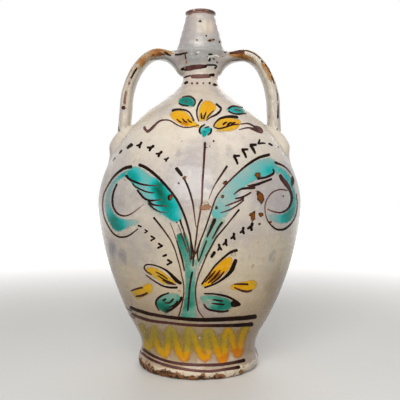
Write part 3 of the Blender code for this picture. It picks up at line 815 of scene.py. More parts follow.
def strapGlaze(name, ochreFrom, ochreTo, patchiness):
    material, board = newFinish(name)
    place = board.place()
    share = board.carried("share")
    outward = board.carried("outward")
    colour = board.stained(glazeColour(board, place), "strapBody", share.step(0.08, 0.22))
    cool = board.noise(place, 60.0, 3.0, 0.6)
    colour = board.stained(colour, "cool", cool.step(0.5, 0.7) * 0.4)
    ragged = board.uneven(0.9, place, 150.0, 3.0, 0.65)
    begun = share.step(ochreFrom - 0.04, ochreFrom + 0.05)
    ended = share.step(ochreTo - 0.12, ochreTo + 0.04)
    ochre = (outward + ragged).step(0.30, 0.60) * (begun * (1.0 - ended))
    broken = board.noise(place, 95.0, 3.0, 0.6).step(patchiness, patchiness + 0.16)
    colour = board.stained(colour, "strapOchre", ochre * (0.30 + 0.65 * broken))
    burnt = board.noise(place, 190.0, 3.0, 0.7).step(0.58, 0.70)
    colour = board.stained(colour, "strapBrown", ochre * burnt * 0.6)
    colour = agedColour(board, place, colour)
    endFinish(board, {"Base Color": colour, "Roughness": (cool - 0.5) * 0.12 + glazeLook["roughness"],
                      "Coat Weight": glazeLook["coat"], "Coat Roughness": glazeLook["coatRoughness"],
                      "Specular IOR Level": glazeLook["specular"], "Normal": glazeBump(board, place)})
    return material


# Build the fired body and its handles

def makeStraps():
    tree = strapTree()
    straps = {}
    for word, bow in strapBows.items():
        route = strapRoute(bow)
        breadths, depths = strapSizes(route, bow)
        line = chain(word + "Route", [[(bow["side"] * reach, 0.0, height) for reach, height in route]],
                     {"breadth": breadths, "depth": depths})
        strap = grow(word + "Strap", tree, {
            "Route": line, "Side": float(bow["side"]), "Sides": strapShape["sides"],
            "Stations": strapShape["stations"], "Ridge": strapShape["ridge"],
            "Unevenness": strapShape["unevenness"], "Seed": bow["seed"]})
        closeMesh(strap)
        bpy.data.objects.remove(line)
        straps[word] = strap
        print("strap pulled:", word, len(strap.data.polygons), "faces")
    return straps


def makeSkin(straps, finish):
    rows, outer = bodyRows()
    outline = chain("bodyOutline", [[(radius, 0.0, height) for radius, height in rows]])
    skin = grow("glazed_body", skinTree(), {
        "Outline": outline, "Sides": bodyMesh["sides"], "Rows": len(rows), "Outer Rows": outer,
        "Wobble": handMade["wobble"], "Ring Depth": handMade["ringDepth"],
        "Ring Spacing": handMade["ringSpacing"], "Wear": handMade["wear"],
        "Foot Shift": handMade["footShift"], "Neck Shift": handMade["neckShift"], "Seed": handMade["seed"],
        "Luted Left": straps["left"], "Luted Right": straps["right"],
        "Fillet": handMade["fillet"], "Finish": finish})
    bpy.data.objects.remove(outline)
    print("body thrown:", len(skin.data.polygons), "faces")
    return skin


def finishHandles(straps, skin):
    tree = luteTree()
    made = {}
    for word, strap in straps.items():
        mesh = strap.data
        bpy.data.objects.remove(strap)
        finish = strapGlaze(word + "StrapGlaze", *strapLook[word])
        values = {"Body": skin, "Fillet": handMade["fillet"], "Finish": finish}
        handle = grow(word + "_strap", tree, values, mesh)
        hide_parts(word + "_handle")
        made[word] = handle
    return made


def makePads(finish):
    made = {}
    for word, bow in strapBows.items():
        pad = padMesh(word, bow)
        closeMesh(pad)
        pad.data.materials.append(finish)
        pad.data.shade_smooth()
        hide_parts(word + "_handle_pad")
        made[word] = pad
    return made


straps = makeStraps()
tinFinish = tinGlaze()
skin = makeSkin(straps, tinFinish)
handles = finishHandles(straps, skin)
pads = makePads(tinFinish)
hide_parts("foot", "lower_belly", "upper_belly", "neck_collar", "spout")
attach(skin, "root")
for piece in [*handles.values(), *pads.values()]:
    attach(piece, "root")


# Brushwork: a stroke is a run of points with its widths and loads of pigment, thrown onto the fired wall

brushSet = {
    "spacing": 0.0011, "unevenness": 0.30, "tremble": 0.00035,
    "overhang": 1.25,  # the ribbon is this much wider than the mark that shows on it
    "tintLift": 0.00003, "poolLift": 0.00005, "washLift": 0.00008, "lineLift": 0.00014, "sink": 0.00006,
    "rankStep": 0.0000012, "merge": 0.000002,
    "standOff": 0.3, "throw": 2.0,  # where unrolled marks start from, and how far a mark can fly
    "grazing": 0.20,  # where the wall turns this far from the eye, a mark ends
    "weights": {"foot_bands": 2.05, "neck_lines": 1.50, "neck_ticks": 1.50, "leaf_lines": 1.50},
    "lineWeight": 1.42,
}


def shareAt(values, share):  # a few values spread evenly from start to end, read part of the way along
    place = share * (len(values) - 1)
    index = min(int(place), max(0, len(values) - 2))
    after = values[min(index + 1, len(values) - 1)]
    return values[index] + (after - values[index]) * (place - index)


def strokeSet(name, strokes, toPlace=fromPhoto, unit=pxSize):
    runs, halves, loads, ids = [], [], [], []
    for index, (points, widths, pigment) in enumerate(strokes):
        run = [toPlace(x, y) for x, y in points]
        travelled = [0.0]
        for before, after in zip(run, run[1:]):
            travelled.append(travelled[-1] + (after - before).length)
        for distance in travelled:
            halves.append(shareAt(widths, distance / travelled[-1]) * unit / 2)
            loads.append(shareAt(pigment, distance / travelled[-1]))
            ids.append(float(index))
        runs.append(run)
    return chain(name, runs, {"halfWidth": halves, "load": loads, "strokeId": ids})


def landed(board, geometry):  # throws flat marks onto the wall, from the eye or straight in towards the axis
    x, _, z = board.split(board.position())
    turn = x / board.input("Around")
    outward = board.combine(turn.sine(), -1.0 * turn.cosine(), 0.0)
    ring = board.vector("ADD", board.scaled(outward, brushSet["standOff"]), board.combine(0.0, 0.0, z))
    aim = board.vector("SUBTRACT", board.combine(x, 0.0, z), board.input("Eye"))

    def eitherOf(fromEye, fromAround):
        return board.add("GeometryNodeSwitch", {"input_type": "VECTOR"},
                         {0: board.input("Unrolled"), 1: fromEye, 2: fromAround})

    start = eitherOf(board.input("Eye"), ring)
    aim = eitherOf(aim, board.scaled(outward, -1.0))
    wall = board.shape("Wall")
    hit = board.add("GeometryNodeRaycast", {"data_type": "FLOAT_VECTOR"}, {
        "Target Geometry": wall, "Attribute": board.normal(), "Source Position": start,
        "Ray Direction": aim, "Ray Length": brushSet["throw"]})
    aimX, aimY, aimZ = board.split(board.vector("NORMALIZE", aim))
    normalX, normalY, normalZ = board.split(hit.out("Attribute"))
    facing = (aimX * normalX + aimY * normalY + aimZ * normalZ) * -1.0
    missed = (1.0 - hit).most(1.0 - facing.step(board.input("Grazing"), board.input("Grazing") + 0.001))
    geometry = board.stored(geometry, "missed", missed)
    geometry = board.stored(geometry, "landing", hit.out("Hit Position"), "FLOAT_VECTOR")
    geometry = board.stored(geometry, "wallNormal", hit.out("Attribute"), "FLOAT_VECTOR")
    top = (-1.0 * board.named("side")).step(0.0, 0.35)
    lift = top * (board.input("Lift") + board.input("Sink")) - board.input("Sink")
    lift = lift + board.named("strokeId") * board.input("Rank Step")
    normal = board.named("wallNormal", "FLOAT_VECTOR")
    place = board.vector("ADD", board.named("landing", "FLOAT_VECTOR"), board.scaled(normal, lift))
    geometry = board.moved(geometry, Position=place)
    geometry = board.add("GeometryNodeDeleteGeometry", None, {
        "Geometry": geometry, "Selection": board.named("missed").math("GREATER_THAN", 0.5)})
    geometry = board.merged(geometry, brushSet["merge"])
    return board.facing(geometry, normal)


landingInputs = {"Wall": "Object", "Eye": "Vector", "Unrolled": "Bool", "Around": "Float", "Lift": "Float",
                 "Sink": "Float", "Rank Step": "Float", "Grazing": "Float", "Finish": "Material"}


def landing(wall, finish, lift, rankStep=brushSet["rankStep"], grazing=brushSet["grazing"], unrolled=None):
    return {"Wall": wall, "Eye": eye, "Unrolled": bool(unrolled), "Around": unrolled or 0.1, "Lift": lift,
            "Sink": brushSet["sink"], "Rank Step": rankStep, "Grazing": grazing, "Finish": finish}


def strokeTree():
    board = newTree("brushStroke", {"Strokes": "Object", "Sides": "Int", "Spacing": "Float",
                                    "Unevenness": "Float", "Tremble": "Float", **landingInputs})
    line = board.smoothRun(board.shape("Strokes"))
    run = board.add("GeometryNodeSplineParameter", None, None, "Length")
    left = board.add("GeometryNodeSplineLength", None, None, "Length") - run
    line = board.stored(line, "run", run)

    # The tips are round, the width sways with the brush's pressure, and the hand trembles a little
    half = board.named("halfWidth")
    toTip = 1.0 - (run.least(left) / half.most(0.0001)).least(1.0)
    tip = (1.0 - toTip * toTip).most(0.0).math("SQRT")
    place = board.position()
    sway = 1.0 + board.uneven(board.input("Unevenness"), place, 260.0, 2.0)
    line = board.stored(line, "reach", half * tip * sway)
    line = board.moved(line, Offset=board.shaken(board.input("Tremble"), place, 110.0, 1.0))
    line = board.add("GeometryNodeSetCurveNormal", {"mode": "FREE"},
                     {"Curve": line, "Normal": (0.0, 1.0, 0.0)})

    ring = board.add("GeometryNodeCurvePrimitiveCircle", None,
                     {"Resolution": board.input("Sides"), "Radius": 1.0})
    side, across, _ = board.split(board.position())
    ring = board.stored(board.stored(ring, "side", side), "across", across)
    ribbon = board.add("GeometryNodeCurveToMesh", None, {
        "Curve": line, "Profile Curve": ring, "Scale": board.named("reach") * brushSet["overhang"]})
    closeTree(board, landed(board, ribbon))
    return board


def pigment(name, stops, alphas, edge, ragged, streaks, coat):  # a brush colour, from thin to thick
    material, board = newFinish(name)
    place = board.place()
    across, load, run, stroke = [board.carried(word) for word in ("across", "load", "run", "strokeId")]
    rag = board.uneven(ragged, place, 700.0, 3.0, 0.6)
    rim = 1.0 - (across.size() + rag).step(*edge)
    brushed = board.combine(run * 45.0, across * 3.2 + stroke * 3.7, stroke * 1.3)
    bristles = board.noise(brushed, 1.0, 3.0, 0.6)
    puddle = board.noise(board.vector("ADD", place, (1.0, 2.0, 3.0)), 130.0, 3.0, 0.55)
    amount = load + ((bristles - 0.5) * 1.3 + (puddle - 0.5) * 1.1) * streaks
    amount = amount + across.size().step(0.35, 0.75) * 0.10
    colour = board.ramp(amount, stops)
    thin, thick = alphas
    cover = (amount.step(0.0, 0.55) * (thick - thin) + thin) * rim
    colour = agedColour(board, place, colour, 0.05)
    rough = board.uneven(0.12, place, 60.0, 2.0) + glazeLook["roughness"]
    endFinish(board, {"Base Color": colour, "Roughness": rough, "Alpha": cover.held(),
                      "Coat Weight": coat, "Coat Roughness": glazeLook["coatRoughness"],
                      "IOR": 1.08, "Normal": glazeBump(board, place)})
    return material


def wash(name, stops, covers, mottle, fadeFrom=0.08, ageing=0.06):  # colour that thins out towards its rim
    material, board = newFinish(name)
    place = board.place()
    across, load = [board.carried(word) for word in ("across", "load")]
    fade = 1.0 - (across.size() + board.uneven(0.5, place, 330.0, 3.0, 0.6)).step(fadeFrom, 1.0)
    drift = board.uneven(mottle, place, 110.0, 3.0, 0.6)
    grain = board.uneven(mottle, place, 480.0, 3.0, 0.65)
    amount = load * (fade * 0.4 + 0.6) + drift + grain
    colour = agedColour(board, place, board.ramp(amount, stops), ageing)
    thin, thick = covers
    cover = (amount.step(0.0, 0.5) * (thick - thin) + thin) * (fade * 1.3).least(1.0)
    endFinish(board, {
        "Base Color": colour, "Roughness": drift * 0.2 + glazeLook["roughness"], "Alpha": cover.held(),
        "Coat Weight": 0.03, "Coat Roughness": glazeLook["coatRoughness"], "IOR": 1.15,
        "Normal": glazeBump(board, place)})
    return material


def thinYellow():  # the zigzag: olive where the brush turned at the top, orange where it left its load
    material, board = newFinish("thinYellow")
    place = board.place()
    across, load = [board.carried(word) for word in ("across", "load")]
    _, _, height = board.split(place)
    low = 1.0 - height.step(0.026, 0.052)
    amount = load + board.uneven(0.5, place, 150.0, 3.0, 0.6) + low * 0.22
    colour = agedColour(board, place, board.ramp(amount, paints["zigzag"]), 0.4)
    edge = across + board.uneven(0.7, place, 200.0, 4.0, 0.65)
    streaks = board.noise(board.vector("MULTIPLY", place, (3.0, 3.0, 0.5)), 260.0, 2.0, 0.5)
    cover = (1.0 - edge.step(0.16, 0.98)) * (amount.step(0.0, 0.6) * 0.25 + 0.82 - streaks * 0.30)
    endFinish(board, {
        "Base Color": colour, "Roughness": load * 0.02 + glazeLook["roughness"], "Alpha": cover.held(),
        "Specular IOR Level": 0.08, "Normal": glazeBump(board, place)})
    return material


def brushOn(name, strokes, wall, finish, lift, sides, spacing=brushSet["spacing"], weight=1.0, **place):
    unrolled = place.get("unrolled")
    if unrolled:
        marks = strokeSet(name + "Marks", strokes, lambda turn, height: Vector(
            (math.radians(turn) * unrolled, 0.0, height / 1000)), 0.001)
    elif isinstance(strokes, list):
        marks = strokeSet(name + "Marks", strokes, unit=pxSize * weight)
    else:
        marks = strokes
    piece = grow(name, brushTree, {
        "Strokes": marks, "Sides": sides, "Spacing": spacing, "Unevenness": brushSet["unevenness"],
        "Tremble": brushSet["tremble"], **landing(wall, finish, lift, **place)})
    bpy.data.objects.remove(marks)
    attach(piece, "root")
    print("brushed:", name, len(piece.data.polygons), "faces")


poolSet = {"spacing": 0.0008, "overhang": 0.0010, "rankLift": 0.000001, "edge": 0.000001}


def poolTree():  # a flat sheet over an outline or along a line, its pigment spread between a few known places
    board = newTree("pigmentPool", {
        "Outline": "Object", "Loads": "Object", "Spacing": "Float", "Overhang": "Float", "Softness": "Float",
        "Reach": "Float", "Spread": "Int", **landingInputs})
    rim = board.smoothRun(board.shape("Outline"))
    filled = board.add("GeometryNodeFillCurve", {"mode": "TRIANGLES"}, {"Curve": rim})
    box = board.add("GeometryNodeBoundBox", None, {"Geometry": rim}, "Min")
    reach = board.input("Reach")
    margin = (board.input("Overhang") + reach) * 2.0
    wide, tall, _ = board.split(board.vector("SUBTRACT", box.out("Max"), box))
    middle = board.scaled(board.vector("ADD", box.out("Max"), box), 0.5)
    sheet = board.add("GeometryNodeMeshGrid", None, {
        "Size X": wide + margin, "Size Y": tall + margin,
        "Vertices X": (wide + margin) / board.input("Spacing") + 2.0,
        "Vertices Y": (tall + margin) / board.input("Spacing") + 2.0})
    sheet = board.moved(sheet, Offset=middle)
    beyond = board.distance(filled, "FACES")
    border = board.add("GeometryNodeCurveToMesh", None, {"Curve": rim})
    within = board.distance(border, "EDGES")
    along = reach.step(0.0, poolSet["edge"])  # 1 where the colour follows a line, 0 where it fills an outline
    filling = within * (1.0 - beyond.step(0.0, poolSet["edge"])) - beyond
    depth = filling * (1.0 - along) + (reach - within) * along
    depth = depth + board.input("Overhang")
    sheet = board.stored(sheet, "depth", depth)
    sheet = board.add("GeometryNodeDeleteGeometry", None, {
        "Geometry": sheet, "Selection": board.named("depth").math("LESS_THAN", 0.0)})
    across = (1.0 - board.named("depth") / board.input("Softness")).held()
    sheet = board.stored(sheet, "across", across)
    sheet = board.stored(sheet, "side", (board.named("depth") / board.input("Overhang")).least(1.0) * -1.0)
    known = board.points(board.shape("Loads"))
    nearest = board.add("GeometryNodeSampleNearest", {"domain": "POINT"}, {"Geometry": known})
    load = board.add("GeometryNodeSampleIndex", {"data_type": "FLOAT", "domain": "POINT"},
                     {"Geometry": known, "Value": board.named("load"), "Index": nearest})
    sheet = board.stored(sheet, "load", load)
    soft = board.add("GeometryNodeBlurAttribute", {"data_type": "FLOAT"},
                     {"Value": board.named("load"), "Iterations": board.input("Spread"), "Weight": 1.0})
    sheet = board.stored(sheet, "load", soft)
    x, y, _ = board.split(board.position())
    sheet = board.stored(sheet, "run", x * 0.6 + y * 0.8)
    sheet = board.moved(sheet, Position=board.combine(x, 0.0, y))
    closeTree(board, landed(board, sheet))
    return board


def flatFromPhoto(x, y):
    place = fromPhoto(x, y)
    return Vector((place.x, place.z, 0.0))


def spreadPools(pools, prefix, wall, finish, lift, softness, spread, reach):
    tree = poolTree()
    for rank, (name, (outline, loads)) in enumerate(pools.items()):
        points = [flatFromPhoto(x, y) for x, y in outline]
        ends = len(points) - 1 if reach else len(points)
        edges = [(index, (index + 1) % len(points)) for index in range(ends)]
        ring = pointMesh(name + "Ring", points, edges)
        known = pointMesh(name + "Loads", [flatFromPhoto(x, y) for x, y, _ in loads],
                          values={"load": [load for *_, load in loads]})
        piece = grow(prefix + name, tree, {
            "Outline": ring, "Loads": known, "Spacing": poolSet["spacing"], "Overhang": poolSet["overhang"],
            "Softness": softness, "Reach": reach, "Spread": spread,
            **landing(wall, finish, lift + rank * poolSet["rankLift"], 0.0)})
        for item in (ring, known):
            bpy.data.objects.remove(item)
        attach(piece, "root")
        print("pooled:", piece.name, len(piece.data.polygons), "faces")


# Manganese lines: photo pixels, widths in pixels and loads from 0 to 1, start to end

leftPlumeLines = [
    ([(132.5, 166.4), (123.8, 168.7), (115, 175.4), (108.4, 184.8), (103.7, 194.8), (102.7, 205.5),
      (103.7, 215), (107, 223.6), (112.4, 232.3), (117.8, 236.4), (123.8, 237), (129.8, 235),
      (138.2, 228.6)], (2.6, 1.9, 1.2, 0.9, 0.9, 1.2, 1.4, 0.8), (1, 0.9, 0.6, 0.5, 0.6, 0.8, 0.85, 0.7)),
    ([(117.4, 183.4), (114, 190.8), (112.4, 199.5), (113.4, 207), (117, 213), (121.8, 215.6), (127, 215.6),
      (132.5, 213), (138, 209), (144, 204)], (1.3, 1.6, 1.4, 1, 0.4), (0.95, 0.95, 0.8, 0.5, 0.15)),
    ([(138.2, 164.4), (144.6, 167), (150.6, 171), (156.6, 176), (162.6, 182), (168.7, 188.8), (174, 195.5),
      (178.7, 203), (182.7, 211.6), (186, 220.3), (188.8, 230.3), (190.8, 240.4), (191.6, 260)],
      (2.5, 2.2, 1.9, 1.7, 1.7, 1.5, 1.2), (1, 1, 0.95, 0.85, 0.8, 0.8, 0.7)),
    ([(126, 174.4), (127.8, 177.7), (132.5, 180.8), (143.9, 184.8), (158, 185.8)], (2.1, 1.7, 1.3, 0.7),
      (1, 0.9, 0.8, 0.5)),
    ([(132.5, 182.8), (135.2, 186.5), (146.6, 191.8), (155, 192.8)], (1.2, 1.3, 0.9), (0.85, 0.9, 0.6)),
    ([(137, 189.5), (140.5, 194.2), (144.6, 198.5), (151.3, 200.5), (162, 199.5)], (1.5, 1.7, 1.4, 0.7),
      (0.8, 0.9, 0.85, 0.5)),
    ([(148, 200.2), (150.6, 203), (155.3, 205.2), (167, 206.2)], (1.8, 1.3, 0.7), (0.9, 0.8, 0.5)),
    ([(148, 203), (151.3, 206.2), (155.3, 209.6), (160.6, 212), (167.3, 212.2)], (1.4, 1.2, 0.6),
      (0.8, 0.75, 0.45)),
    ([(170.2, 194.4), (168.6, 197.6), (169.8, 201)], (1.5, 1.8, 1), (0.95, 0.95, 0.9)),
    ([(153.3, 217), (159.3, 224.3), (165.3, 232.3), (170.7, 240.4), (174.7, 249), (177.4, 258),
      (180, 266.8), (181.8, 275.7), (183.6, 284.6), (183.6, 295.4), (181, 308), (178.2, 317.7)],
      (1.6, 1.2, 1.1, 1, 1, 1, 1.1), (0.9, 0.65, 0.55, 0.5, 0.5, 0.55, 0.7)),
    ([(161.5, 221.4), (161.8, 223)], (1.3, 0.9), (0.7, 0.5)),
    ([(168.6, 222.2), (169.6, 222.8)], (1, 0.9), (0.6, 0.5)),
    ([(173.2, 222.6), (174.2, 223.2)], (1.4, 1.2), (0.8, 0.7)),
    ([(176.5, 221.4), (176.9, 223.6)], (1.5, 1.1), (0.8, 0.7)),
    ([(180, 219), (181.2, 224), (183.8, 231), (185.6, 240)], (1.5, 1.2, 1), (0.9, 0.7, 0.5)),
]
stemLines = [
    ([(214.8, 240), (207.7, 253.4), (202.3, 266), (197.9, 277.5), (195.6, 290), (196.5, 302.5),
      (198.8, 311.4), (204, 318)], (1.3, 1.2, 1.1, 1.1, 0.9), (0.7, 0.6, 0.6, 0.6, 0.5)),
    ([(192.5, 271.3), (190.7, 280.2), (189.4, 290), (188.5, 302.5), (187.6, 311.4)], (1.5, 1.6, 1.5, 1.2),
      (0.8, 0.75, 0.8, 0.8)),
    ([(176.4, 240), (181.8, 258), (184.5, 271.3)], (1, 1.4, 1.1), (0.6, 0.9, 0.7)),
    ([(180.4, 233), (183.6, 240), (188, 253.4)], (1, 1.2, 0.8), (0.7, 0.6, 0.5)),
    ([(170, 222.6), (173.4, 231), (176.4, 240)], (0.6, 0.7, 0.7), (0.45, 0.4, 0.5)),
    ([(177.8, 224), (180.2, 229.6), (182.4, 236)], (0.6, 0.7, 0.7), (0.45, 0.4, 0.45)),
    ([(186.4, 240), (189, 250), (190.4, 262)], (0.8, 1, 0.8), (0.6, 0.6, 0.5)),
    ([(190.7, 240), (193.4, 253.4), (192.9, 266.8)], (1.3, 1.5, 1.1), (0.75, 0.8, 0.7)),
    ([(195.6, 240), (194.3, 258)], (1.1, 1), (0.7, 0.6)),
    ([(200.5, 240), (197.4, 253.4), (198.8, 262.3)], (1.3, 1.2, 0.9), (0.85, 0.75, 0.6)),
    ([(206.8, 240), (201.4, 254.3), (198.8, 261.4)], (1.2, 1.4, 1), (0.8, 0.9, 0.6)),
    ([(205, 141.7), (203.9, 162), (202.5, 183), (201.5, 204), (197.6, 226.6), (195.4, 246.3)],
      (1.9, 1.5, 1.4, 1.3, 1.2), (0.75, 0.6, 0.5, 0.5, 0.7)),
    ([(175.6, 167.4), (179, 171.8), (182.4, 176.4)], (2.6, 2.6, 2), (1, 1, 0.9)),
    ([(183.6, 177.6), (188.2, 187.4), (192.4, 201.4), (194.5, 215.4), (196.2, 228)],
      (1.3, 1.6, 1.4, 0.9, 0.7), (0.8, 0.85, 0.75, 0.6, 0.5)),
    ([(227.5, 165.6), (220.5, 176), (213.5, 187.3), (208.6, 200)], (1.7, 1.4, 0.9, 0.5),
      (0.8, 0.7, 0.5, 0.3)),
]
rightPlumeLines = [
    ([(270.3, 154.4), (258.4, 157.9), (247, 165), (235.9, 174.7), (224.7, 186), (216.3, 197.2),
      (210.7, 212.6), (205, 229.4), (199.4, 243.5), (195.2, 254.7)], (2.3, 1.8, 1.3, 1.2, 1.2, 1.2, 1),
      (1, 0.9, 0.7, 0.65, 0.65, 0.7, 0.7)),
    ([(273, 168.7), (273.7, 172.7), (271, 175), (265.6, 177.4), (257, 179.4)], (1.4, 1.9, 1.6, 1),
      (0.9, 1, 0.9, 0.7)),
    ([(272.3, 178.8), (263.6, 182), (255.6, 184.8), (247, 185.8)], (1.6, 1.8, 2, 1),
      (0.95, 0.9, 0.85, 0.6)),
    ([(255.6, 187.5), (247, 188.2), (240.2, 189.5), (233.5, 194.8)], (2.3, 2, 1.4, 0.8),
      (0.75, 0.85, 0.85, 0.6)),
    ([(251.6, 192), (243, 196.8), (234.8, 198.8)], (1.3, 1.5, 1.2), (0.7, 0.8, 0.75)),
    ([(244.2, 197.5), (240.2, 200.2), (232, 203.5), (224.8, 206.2)], (1.4, 1.3, 1), (0.75, 0.7, 0.5)),
    ([(244.2, 199.5), (238.8, 204.2), (230, 209.6), (220, 213)], (1.2, 1.2, 0.8), (0.7, 0.7, 0.5)),
    ([(239.5, 209.2), (231.5, 219), (223.4, 229), (216.7, 237), (211.4, 246.4), (205.4, 257)],
      (1.7, 1.1, 1.3, 1.3, 1.2), (0.8, 0.65, 0.8, 0.7, 0.7)),
    ([(215.4, 218.3), (213, 223.5), (206.7, 237.7)], (2.8, 2.2, 1.3), (0.95, 0.8, 0.6)),
    ([(222.8, 221.6), (218.8, 227), (212, 239.3)], (1.8, 1.6, 1.2), (0.85, 0.75, 0.6)),
    ([(274.3, 161.7), (277, 163.2), (283.4, 166), (288.4, 170.4), (291.6, 175)], (1.9, 1.6, 1.1, 0.8),
      (0.95, 0.85, 0.6, 0.4)),
    ([(296.4, 193.5), (297.2, 206), (295, 217), (290.4, 224.3), (285, 228.6), (279, 229.8), (273.7, 227.6),
      (268.3, 221.6), (265.4, 213.6), (265.2, 204.2), (268.3, 197.2), (273, 192), (280.4, 189.4),
      (287.7, 190.6)], (0.7, 0.8, 1, 1.7, 1.2, 0.8, 0.8, 1.1, 0.9),
      (0.4, 0.5, 0.8, 1, 0.85, 0.5, 0.5, 0.6, 0.45)),
    ([(279.7, 174), (281.6, 178.4), (285.6, 183.4), (289.6, 189.6), (291.8, 197.2), (290.4, 204.6),
      (286.4, 210), (280.4, 212.6), (273.7, 211.6), (267, 209)], (2, 3.6, 2.4, 1.9, 1.6, 1.4, 1.1, 0.8),
      (0.8, 0.6, 0.72, 0.9, 0.9, 0.8, 0.6, 0.4)),
    ([(256.6, 177.5), (259.6, 178.4), (263.4, 177.2)], (1.2, 1.5, 1.2), (0.8, 0.85, 0.8)),
]
flowerLines = [
    ([(202.6, 99), (199, 104), (197, 110), (197.1, 116), (199, 122)], (1.6, 1.4, 1.3, 0.8),
      (0.9, 0.8, 0.75, 0.6)),
    ([(215.6, 103.6), (218.6, 106), (221, 109), (217.4, 113.8), (209.6, 118), (206, 121)],
      (1.8, 1.6, 1.8, 1.2, 0.8), (0.95, 0.9, 0.9, 0.7, 0.6)),
    ([(201.2, 112.4), (201.4, 116), (202.4, 119.4)], (0.8, 1.4, 1.2), (0.6, 0.85, 0.85)),
    ([(206.4, 111.4), (204.6, 115.8), (203.6, 119.6)], (0.8, 1.3, 1), (0.6, 0.8, 0.8)),
    ([(214.2, 110), (209.6, 114.6), (206.6, 118.4)], (0.8, 1.1, 0.8), (0.6, 0.75, 0.6)),
    ([(213.4, 103), (214.6, 104)], (1.2, 1), (0.8, 0.8)),
    ([(171.4, 111), (176, 109.6), (181.6, 109.6), (188, 111.4), (191.8, 116), (194, 121.5)],
      (1.7, 1.7, 1.4, 1.2, 1.4), (0.85, 0.85, 0.75, 0.7, 0.75)),
    ([(199, 125), (192, 127), (183.7, 127.4), (176.7, 124.6), (170.4, 120.8), (164, 120), (158.4, 122),
      (150, 130), (146, 132)], (0.8, 0.9, 1, 1, 1.2, 2, 2.2), (0.5, 0.6, 0.7, 0.65, 0.6, 0.55, 0.5)),
    ([(147.6, 131.6), (145, 129), (144.6, 126)], (1.6, 2.2, 1.8), (0.5, 0.42, 0.4)),
    ([(176.4, 118.6), (179.2, 121.4), (182, 122.6)], (0.8, 1.2, 0.9), (0.6, 0.8, 0.7)),
    ([(182, 118), (184.4, 121), (187.4, 122.6)], (0.8, 1.2, 0.9), (0.6, 0.8, 0.7)),
    ([(187.4, 118.6), (189.4, 121.2), (192.4, 122.8)], (0.8, 1.2, 0.9), (0.6, 0.8, 0.7)),
    ([(238.4, 117.6), (230.7, 116.6), (221.6, 118), (216, 122), (213.2, 127)], (2.3, 2.2, 1.5, 1),
      (1, 1, 0.85, 0.7)),
    ([(213.4, 127), (219, 128.6), (225.8, 127), (232, 125), (239.8, 124.3)], (0.9, 1.3, 1.3, 0.8),
      (0.6, 0.8, 0.8, 0.6)),
    ([(222.4, 125.6), (224.6, 123.2), (227.6, 122)], (0.9, 1.6, 0.9), (0.7, 0.95, 0.7)),
    ([(226.6, 126), (229, 123.6), (232.2, 122.4)], (0.9, 1.6, 0.9), (0.7, 0.95, 0.7)),
    ([(230.8, 125.6), (233, 123.4), (236, 122.4)], (0.9, 1.4, 0.8), (0.7, 0.9, 0.6)),
    ([(240, 124.2), (248, 123.6), (254, 126.4), (258.6, 129.6)], (0.8, 1.1, 1.5, 1.2),
      (0.55, 0.65, 0.75, 0.6)),
    ([(238.4, 130), (248, 127.8), (254, 129.6), (259, 131.6)], (0.8, 1, 1.4, 1), (0.5, 0.6, 0.7, 0.6)),
    ([(253.6, 126.6), (258.6, 129.6), (263, 132.8)], (2.6, 4.6, 2.4), (0.55, 0.55, 0.5)),
    ([(249.4, 128), (254.4, 129.4), (258.4, 132)], (1.2, 2.4, 1.4), (0.55, 0.6, 0.5)),
    ([(181.6, 97.6), (186, 96.4), (191, 96.8), (194.6, 100), (195, 103.6), (193, 106.4)],
      (0.9, 1.3, 1.3, 1.2, 0.9), (0.55, 0.7, 0.8, 0.8, 0.7)),
    ([(178.4, 103), (182.4, 105.2), (189, 106)], (1, 1.5, 1), (0.8, 0.85, 0.7)),
    ([(185.6, 100.2), (186.4, 103)], (1.2, 0.9), (0.6, 0.6)),
    ([(228, 109.6), (230, 107.4), (233.6, 106.2), (238.6, 106.8), (243.3, 107.8)], (1.4, 1.5, 1.3, 1),
      (0.9, 0.9, 0.8, 0.6)),
    ([(228, 111), (234, 113.8), (240, 114), (246.8, 113.4)], (1.3, 1.2, 1.4, 0.8), (0.8, 0.75, 0.85, 0.6)),
    ([(234, 109.4), (241, 110.8)], (1, 0.9), (0.6, 0.6)),
    ([(205.4, 124.4), (201, 127), (199.4, 131), (201, 134.4)], (1, 1.5, 1.6, 1), (0.8, 0.9, 0.9, 0.7)),
    ([(211.4, 128), (210.8, 132.4), (207.4, 135.4)], (1.2, 1.5, 1), (0.85, 0.85, 0.7)),
    ([(204.4, 128.4), (206.6, 127.4), (209.4, 126.6)], (0.9, 1.2, 0.8), (0.75, 0.75, 0.6)),
    ([(203.8, 131), (205.2, 132.6)], (1.4, 1.1), (0.9, 0.8)),
]
